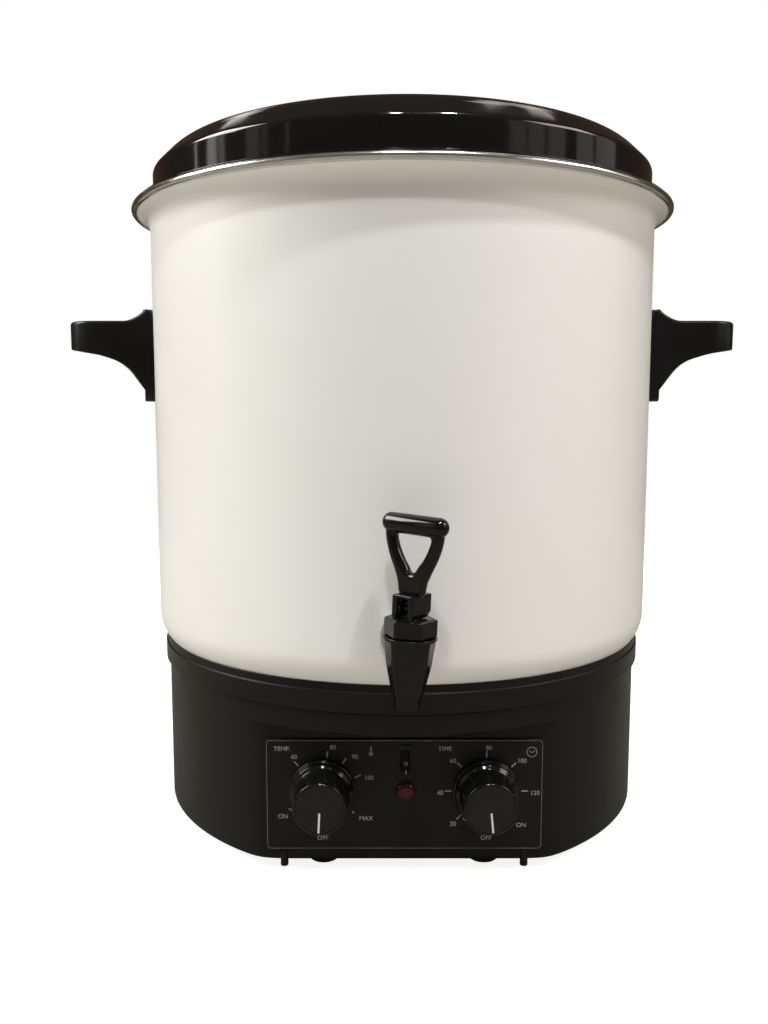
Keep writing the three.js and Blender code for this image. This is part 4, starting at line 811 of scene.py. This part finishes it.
# Rim trim
# A bead of polished stainless steel rolled over the raw edge of the enamel, open towards
# the pot where its two lips grip the flare.
trim_turn = angles(-90, 90, 25)
trim_line = np.vstack([
    [[183.6, 410.5]], arc(bead_out, bead_up, trim_turn, 2.35), [[183.6, 415.2], [183.6, 414.7]],
    arc(bead_out, bead_up, trim_turn[::-1], 1.85), [[183.6, 411.0], [183.6, 410.5]]])
trim = mesh_from("trim_bead", bright_steel, lathe(trim_line, 320), sharp=40)
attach(trim, "cooker")
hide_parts("rim_trim")

# Side handles
# Two hollow black mouldings. Each has a curved flange on the pot, a level grip with a round
# nose and an arched root; two pan-head screws from inside the pot hold it.
handle_skin = 175.3
handle_nose = 229
handle_half = 50
handle_low = 285.8
handle_wall = 4


def grip_top(spots):
    """Height of the grip over points seen from above: level, rising to the flange in a
    hollow curve that keeps its distance from the round pot."""
    near = np.clip((193.8 - np.hypot(spots[:, 0], spots[:, 1])) / 14, 0, 1)
    return 340 + 7.6 * near ** 1.7


def grip_bottom(spots):
    """Height of the grip's lower edge: it climbs from the foot in a curve that dies away
    as an exponential, then slopes up a little to the nose."""
    out = np.clip(spots[:, 0] - 174.5, 0, None)
    return 293 + 25.5 * (1 - np.exp(-out / 12)) + 0.1 * np.clip(out - 25.5, 0, None)


def grip_outline(inset, root):
    """Closed outline from above: two straight sides, a round-cornered nose, and a root side
    that keeps a fixed distance from the axis or, for the pocket, runs straight."""
    corner = 20 - inset
    nose, half = handle_nose - inset, handle_half - inset
    turn = angles(0, 90, 10)
    root_y = np.linspace(half, -half, 15)
    root_x = np.sqrt(root ** 2 - root_y ** 2) if inset < handle_wall else np.full(15, root)
    side = root_x[0] + (nose - corner - root_x[0]) * np.linspace(0, 1, 34)[:-1] ** 1.5
    return np.vstack([
        np.column_stack([side, np.full(33, -half)]),
        arc(nose - corner, corner - half, turn - np.pi / 2, corner),
        arc(nose - corner, half - corner, turn, corner),
        np.column_stack([side[::-1], np.full(33, half)]), np.column_stack([root_x, root_y])[1:-1]])


grip_middle = np.array([204, 0])
outside = grip_outline(0, handle_skin + 1.5)
grip_rows = []
for share in [0, 0.2, 0.4, 0.55, 0.7, 0.8, 0.88, 0.94]:
    ring = grip_middle + (grip_outline(2.2, handle_skin + 3.7) - grip_middle) * share
    grip_rows.append(raised(ring, grip_top(ring)))
for turn in angles(0, 90, 8):
    ring = grip_outline(2.2 * (1 - math.sin(turn)), handle_skin + 1.5 + 2.2 * (1 - math.sin(turn)))
    grip_rows.append(raised(ring, grip_top(ring) - 2.2 * (1 - math.cos(turn))))
grip_rows.append(raised(outside, (grip_top(outside) + grip_bottom(outside)) / 2))
for turn in angles(0, 90, 6):
    ring = grip_outline(1.2 * (1 - math.cos(turn)), handle_skin + 1.5)
    grip_rows.append(raised(ring, grip_bottom(ring) + 1.2 * (1 - math.sin(turn))))
pocket = grip_outline(handle_wall, 184.3)
pocket_middle = np.array([206, 0])
grip_rows += [raised(pocket, grip_bottom(pocket)), raised(pocket, 335)]
for share in [0.98, 0.5, 0]:
    grip_rows.append(raised(pocket_middle + (pocket - pocket_middle) * share, 336))
flange_flat = plate(handle_half - 0.15, 31.1, 9, [
    (30, 0), (20, 0), (10, 0), (3, 0), (0.4, 0), (0, 0.4), (0, 5.4), (0.25, 5.95), (0.8, 6.2), (3, 6.2),
    (10, 6.2), (20, 6.2), (30, 6.2)])
flange_y, flange_z = flange_flat[..., 0], flange_flat[..., 1] + handle_low + 31.1
flange_out = np.sqrt((handle_skin + flange_flat[..., 2]) ** 2 - flange_y ** 2)
flange_grid = np.stack([flange_out, flange_y, flange_z], -1)
for side, sign in [("left", -1), ("right", 1)]:
    flip = np.array([sign, sign, 1])
    handle = mesh_from("grip_" + side, satin_black, np.array(grip_rows)[::-1] * flip, flange_grid * flip)
    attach(handle, "cooker")
    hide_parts("handle_" + side)
dress(bright_steel, "handle_screw_left_front", "handle_screw_left_rear",
      "handle_screw_right_front", "handle_screw_right_rear")

# Tap body and bonnet
# A draw-off tap of glossy black plastic: an eight-sided tapering barrel with its nozzle, a
# screwed six-sided bonnet, and a flanged shank through the pot wall.
tap_lean = math.radians(2.4)
tap_place = np.array([1.3, -203, 155])


def on_tap(points, turn=0.0):
    """Points from where the tap's axis meets its shank, turned about the axis by degrees,
    leaned to the right with the whole tap, and put in front of the pot."""
    angle = math.radians(turn)
    across = points[..., 0] * math.cos(angle) - points[..., 1] * math.sin(angle)
    along = points[..., 0] * math.sin(angle) + points[..., 1] * math.cos(angle)
    leaned = across * math.cos(tap_lean) + points[..., 2] * math.sin(tap_lean)
    height = points[..., 2] * math.cos(tap_lean) - across * math.sin(tap_lean)
    return np.stack([leaned, along, height], -1) + tap_place


def many_sided(line, sides, first_corner, around=192, power=60):
    """Lathe whose rings are polygons: the distance at each angle is the least over the flat
    sides, blended by a high power so that the corners are rounded."""
    angle = np.linspace(0, 2 * np.pi, around, endpoint=False)
    middles = math.radians(first_corner) + (np.arange(sides) + 0.5) * 2 * np.pi / sides
    facing = np.clip(np.cos(angle[:, None] - middles), 0, None)
    distance = math.cos(math.pi / sides) * (facing ** power).sum(1) ** (-1 / power)
    out, up = line[:, :1] * distance, np.broadcast_to(line[:, 1:], (len(line), around))
    return np.stack([out * np.cos(angle), out * np.sin(angle), up], -1)


def along_shank(grid):
    """Turns a form that rises along +Z so that it runs back from the tap to the pot."""
    return np.stack([grid[..., 0], grid[..., 2], -grid[..., 1]], -1)


barrel_line = soften([
    (6, -32.6, 0), (7.3, -32.6, 0.5), (7.75, -25.4, 0.3), (8.7, -25.4, 0.4), (12.3, -9.5, 14),
    (14.4, 6.4, 0.7), (12, 6.4, 0)])
barrel_bore = soften([
    (10.2, 6.4, 0.3), (10.2, 11.7, 0.5), (8.6, 11.7, 0.3), (8.6, -9, 0.4), (5, -9, 0.3), (5, -32.6, 0)])
collar_ring = soften([(10.4, 4.9, 0), (14.7, 4.9, 0.4), (14.7, 6.65, 0.4), (10.4, 6.65, 0), (10.4, 4.9, 0)])
barrel_rows = np.concatenate([
    many_sided(barrel_line, 8, 0), lathe(barrel_bore, 192), many_sided(barrel_line[:1], 8, 0)])
shank_line = soften([
    (4.2, 9, 0), (6.2, 9, 0), (6.2, 22, 0.3), (13.5, 22, 0.5), (13.5, 24.8, 0.3), (6.2, 24.8, 0),
    (6.2, 43, 0.5), (4.2, 43, 0.3), (4.2, 9, 0)])
tap_pipe = mesh_from("tap_barrel", gloss_black, on_tap(barrel_rows), on_tap(lathe(collar_ring, 96)),
                     on_tap(along_shank(lathe(shank_line, 96))), sharp=50)
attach(tap_pipe, "cooker")
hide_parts("tap_body")
bonnet_line = soften([
    (12.2, 6.7, 0), (13.6, 6.7, 0.3), (14.5, 7.6, 0.5), (14.5, 15.8, 0.5), (12.7, 16.7, 0.5), (8, 16.7, 0)])
bonnet_bore = soften([
    (5, 16.7, 0), (2.7, 16.7, 0.3), (2.7, 13.5, 0.2), (10.5, 13.5, 0.3), (10.5, 6.7, 0.2), (11.2, 6.7, 0)])
bonnet_rows = np.concatenate([
    many_sided(bonnet_line, 6, -68), lathe(bonnet_bore, 192), many_sided(bonnet_line[:1], 6, -68)])
bonnet = mesh_from("tap_cap", gloss_black, on_tap(bonnet_rows), sharp=50)
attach(bonnet, "cooker")
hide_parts("tap_bonnet")
dress(gloss_black, "tap_lock_nut")

# Tap seals, stem and spring
# Pale silicone rings seal the shank on both sides of the pot wall, and a cup of the same
# rubber closes the outlet. A steel stem and spring work it, with a blackened pin on top.
pale_silicone = worn("pale_silicone", 0.006, (0.48, 0.62), ((0.44, 0.445, 0.43), (0.34, 0.34, 0.32)),
                     (0.0006, 0.00001))
for name, reach, start in [("outer", 16, 25.1), ("inner", 14.5, 31.15)]:
    end = start + 2.6
    ring_line = soften([
        (6.5, start, 0.3), (reach, start, 0.8), (reach, end, 0.8), (6.5, end, 0.3), (6.5, start, 0)])
    seal = mesh_from("seal_ring_" + name, pale_silicone, on_tap(along_shank(lathe(ring_line, 96))))
    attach(seal, "cooker")
    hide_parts("tap_gasket_" + name)
dress(pale_silicone, "tap_seat_cup")
dress(bright_steel, "tap_stem")
coil_low = -2.86
coil_high = 13.2
coil_wire = 0.55
coil_sweep = 6 * 2 * math.pi
coil_turn, wire_turn = np.meshgrid(
    np.linspace(0, coil_sweep, 217), np.linspace(0, 2 * math.pi, 12, endpoint=False), indexing="ij")
coil_out = 4.6 + coil_wire * np.cos(wire_turn)
coil_rise = coil_low + coil_wire + (coil_high - coil_low - 2 * coil_wire) * coil_turn / coil_sweep
coil_grid = np.stack([coil_out * np.cos(coil_turn), coil_out * np.sin(coil_turn),
                      coil_rise + coil_wire * np.sin(wire_turn)], -1)
coil_ends = [np.broadcast_to(row.mean(0), row.shape)[None] for row in (coil_grid[0], coil_grid[-1])]
coil_grid = np.concatenate([coil_ends[0], coil_grid, coil_ends[1]])[:, ::-1]
coil = mesh_from("spring_coil", bright_steel, on_tap(coil_grid))
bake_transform(coil)
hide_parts("tap_spring")
dark_tone = (0.02, 0.02, 0.019)
black_steel = worn("black_steel", 0.004, (0.26, 0.4), (dark_tone, dark_tone), metallic=0.6)
dress(black_steel, "tap_lever_pin")

# Tap lever
# One glossy moulding: a forked foot that rocks on the bonnet, two legs round an opening for
# the finger, and a round bar on top. It is turned 38 degrees to the right.
lever_turn = -38


def through(corners, steps=6):
    """Smooth line through all corners: each stretch is a cubic whose end slopes are half the
    step between the corners' neighbours."""
    corners = np.array(corners, float)
    ends = np.vstack([2 * corners[0] - corners[1], corners, 2 * corners[-1] - corners[-2]])
    share = np.linspace(0, 1, steps, endpoint=False)[:, None]
    stretches = []
    for a, b, c, d in zip(ends, ends[1:], ends[2:], ends[3:]):
        stretches.append(b + share * (c - a) / 2 + share ** 2 * (2 * a - 5 * b + 4 * c - d) / 2
                         + share ** 3 * (3 * b - a - 3 * c + d) / 2)
    return np.vstack(stretches + [corners[-1:]])


def carried(outer, inner, half_deep, corner):
    """Rounded rectangles carried along two lines in the (x, z) plane: each one spans from
    the outer to the inner point, and reaches half_deep to both sides of the plane."""
    rows = []
    for a, b in zip(outer, inner):
        half = np.linalg.norm(a - b) / 2
        ring = evenly(rounded_outline(half, half_deep, min(corner, half * 0.96)))
        spots = (a + b) / 2 + ring[:, :1] * (a - b) / (2 * half)
        rows.append(np.column_stack([spots[:, 0], ring[:, 1], spots[:, 1]]))
    return np.array(rows)


def evenly(ring, count=160):
    """The same closed outline with points at even steps along it."""
    closed = np.vstack([ring, ring[:1]])
    way = np.concatenate([[0], np.cumsum(np.linalg.norm(np.diff(closed, axis=0), axis=1))])
    steps = np.linspace(0, way[-1], count, endpoint=False)
    return np.column_stack([np.interp(steps, way, closed[:, 0]), np.interp(steps, way, closed[:, 1])])


def both_sides(line):
    """A line from the middle out, led by its mirror image so that it runs right across."""
    mirrored = line[::-1] * [-1, 1]
    return np.vstack([mirrored[:-1], line])


loop_outer = through([
    (0, 27), (5.4, 27.2), (7.3, 29), (8.0, 32), (8.8, 35.4), (11, 40.5), (14.6, 47.8), (17.2, 55.1),
    (18.2, 61.5), (17.6, 66), (12, 67.5), (0, 67.5)])
loop_inner = through([
    (0, 40.7), (1.0, 40.8), (1.9, 41.25), (2.7, 42.1), (3.4, 43.3), (4.8, 45.4), (7.2, 48.6),
    (9.8, 53.4), (11.5, 58.2), (10.6, 60.3), (7, 60.6), (0, 60.6)])
loop_grid = carried(both_sides(loop_outer), both_sides(loop_inner), 3.5, 3.2)
fork_outer = both_sides(np.array([(0, 29.5), (3, 29.5), (5.6, 29.5), (6.3, 29.35), (6.65, 28.9), (6.8, 28.2),
                                  (6.8, 24), (6.8, 20), (6.8, 17.4), (6.5, 17.0)]))
fork_inner = both_sides(np.array([(0, 27.6), (2, 27.6), (2.9, 27.6), (3.2, 27.5), (3.4, 27.3), (3.5, 27),
                                  (3.5, 24), (3.5, 20), (3.5, 17.4), (3.8, 17.0)]))
fork_grid = carried(fork_outer, fork_inner, 8.7, 0.8)
fork_ends = [np.broadcast_to(row.mean(0), row.shape) for row in (fork_grid[0], fork_grid[-1])]
fork_grid = np.concatenate([fork_ends[:1], fork_grid, fork_ends[1:]])
heel = 22.8 - np.sqrt(5.8 ** 2 - np.clip(fork_grid[..., 1] - 2.9, 0, 5.79) ** 2)
fork_grid[..., 2] = heel + (fork_grid[..., 2] - 17) * (29.5 - heel) / 12.5
bar_turn = angles(-90, 90, 31)
bar_line = arc(0, 15.27 * np.sign(bar_turn), bar_turn, 5.35)
bar_grid = lathe(bar_line, 64)
bar_grid = np.stack([bar_grid[..., 2], bar_grid[..., 0], bar_grid[..., 1] + 66.12], -1)
lever_grids = [on_tap(grid, lever_turn) for grid in (loop_grid, fork_grid, bar_grid)]
lever = mesh_from("tap_handle_loop", gloss_black, *lever_grids, sharp=50)
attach(lever, "tap_handle")
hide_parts("tap_lever")

# Jar rack
# A pierced steel disc on four short legs that keeps the jars off the hot floor.
rack_steel = worn("rack_steel", 0.03, (0.32, 0.4), ((0.62, 0.615, 0.6), (0.54, 0.53, 0.51)),
                  (0.002, 0.00001), metallic=1.0)
dress(rack_steel, "jar_rack")

# Lid
# A pressed steel lid under black enamel: a flange on the bead, an upright skirt, a sloped
# shoulder with a firm edge, a rounded crown and a dished top with the knob in the middle.
lid_top = 455
crown_turn = angles(45, 90, 13)
crown = arc(142.8, 425, crown_turn, 30)
dish_share = np.linspace(0, 1, 17)[1:]
dish_out = 142.8 - 60 * dish_share
dish = np.column_stack([dish_out, lid_top - 9 * (dish_share ** 2 * (3 - 2 * dish_share))])
lid_outside = np.vstack([
    soften([(171.8, 415.5, 0), (184, 415.5, 0.3), (184, 416.62, 0.3), (172.5, 416.62, 1.8),
            (172.5, 437.7, 4.2), (164.01, 446.21, 0)], 8)[:-1],
    crown, dish, [[40, 446], [0, 446]]])
lid_inside_top = np.vstack([
    [[0, 444.6], [40, 444.6]],
    (dish - [0, 1.4])[::-1],
    (crown - [0.2, 1.4])[::-1],
    soften([(163.5, 444.7, 0), (171.1, 437.1, 3), (171.1, 415.5, 0)], 8)[1:],
    [[170.4, 415.5], [170.4, 408.5], [171.8, 408.5], [171.8, 415.5]]])
black_enamel = worn("black_enamel", 0.05, (0.06, 0.13), ((0.004, 0.0037, 0.0033), (0.09, 0.085, 0.08)),
                    (0.01, 0.00002), dust=(0.0006, 0.08), specular_ior_level=0.42)
lid = mesh_from("lid_pressing", black_enamel, lathe(np.vstack([lid_outside, lid_inside_top]), 320), sharp=50)
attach(lid, "lid")
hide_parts("lid_shell")

# Lid knob
# A turned black knob held from below by a screw and a wide washer.
knob_shares = [
    (0, 0, 0), (0.74, 0, 0.02), (0.74, 0.06, 0.03), (0.5, 0.2, 0.2), (0.45, 0.42, 0.25), (0.9, 0.6, 0.2),
    (1, 0.7, 0.1), (0.95, 0.86, 0.25), (0.6, 1.0, 0.5), (0, 1.0, 0)]
lid_knob_line = soften([(21 * a, 446.3 + 30 * b, 21 * c) for a, b, c in knob_shares], 8)
lid_knob = mesh_from("lid_knob_turned", gloss_black, lathe(lid_knob_line, 96), sharp=50)
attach(lid_knob, "lid")
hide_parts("lid_knob")
dress(zinc_steel, "lid_knob_washer")
dress(bright_steel, "lid_knob_screw")
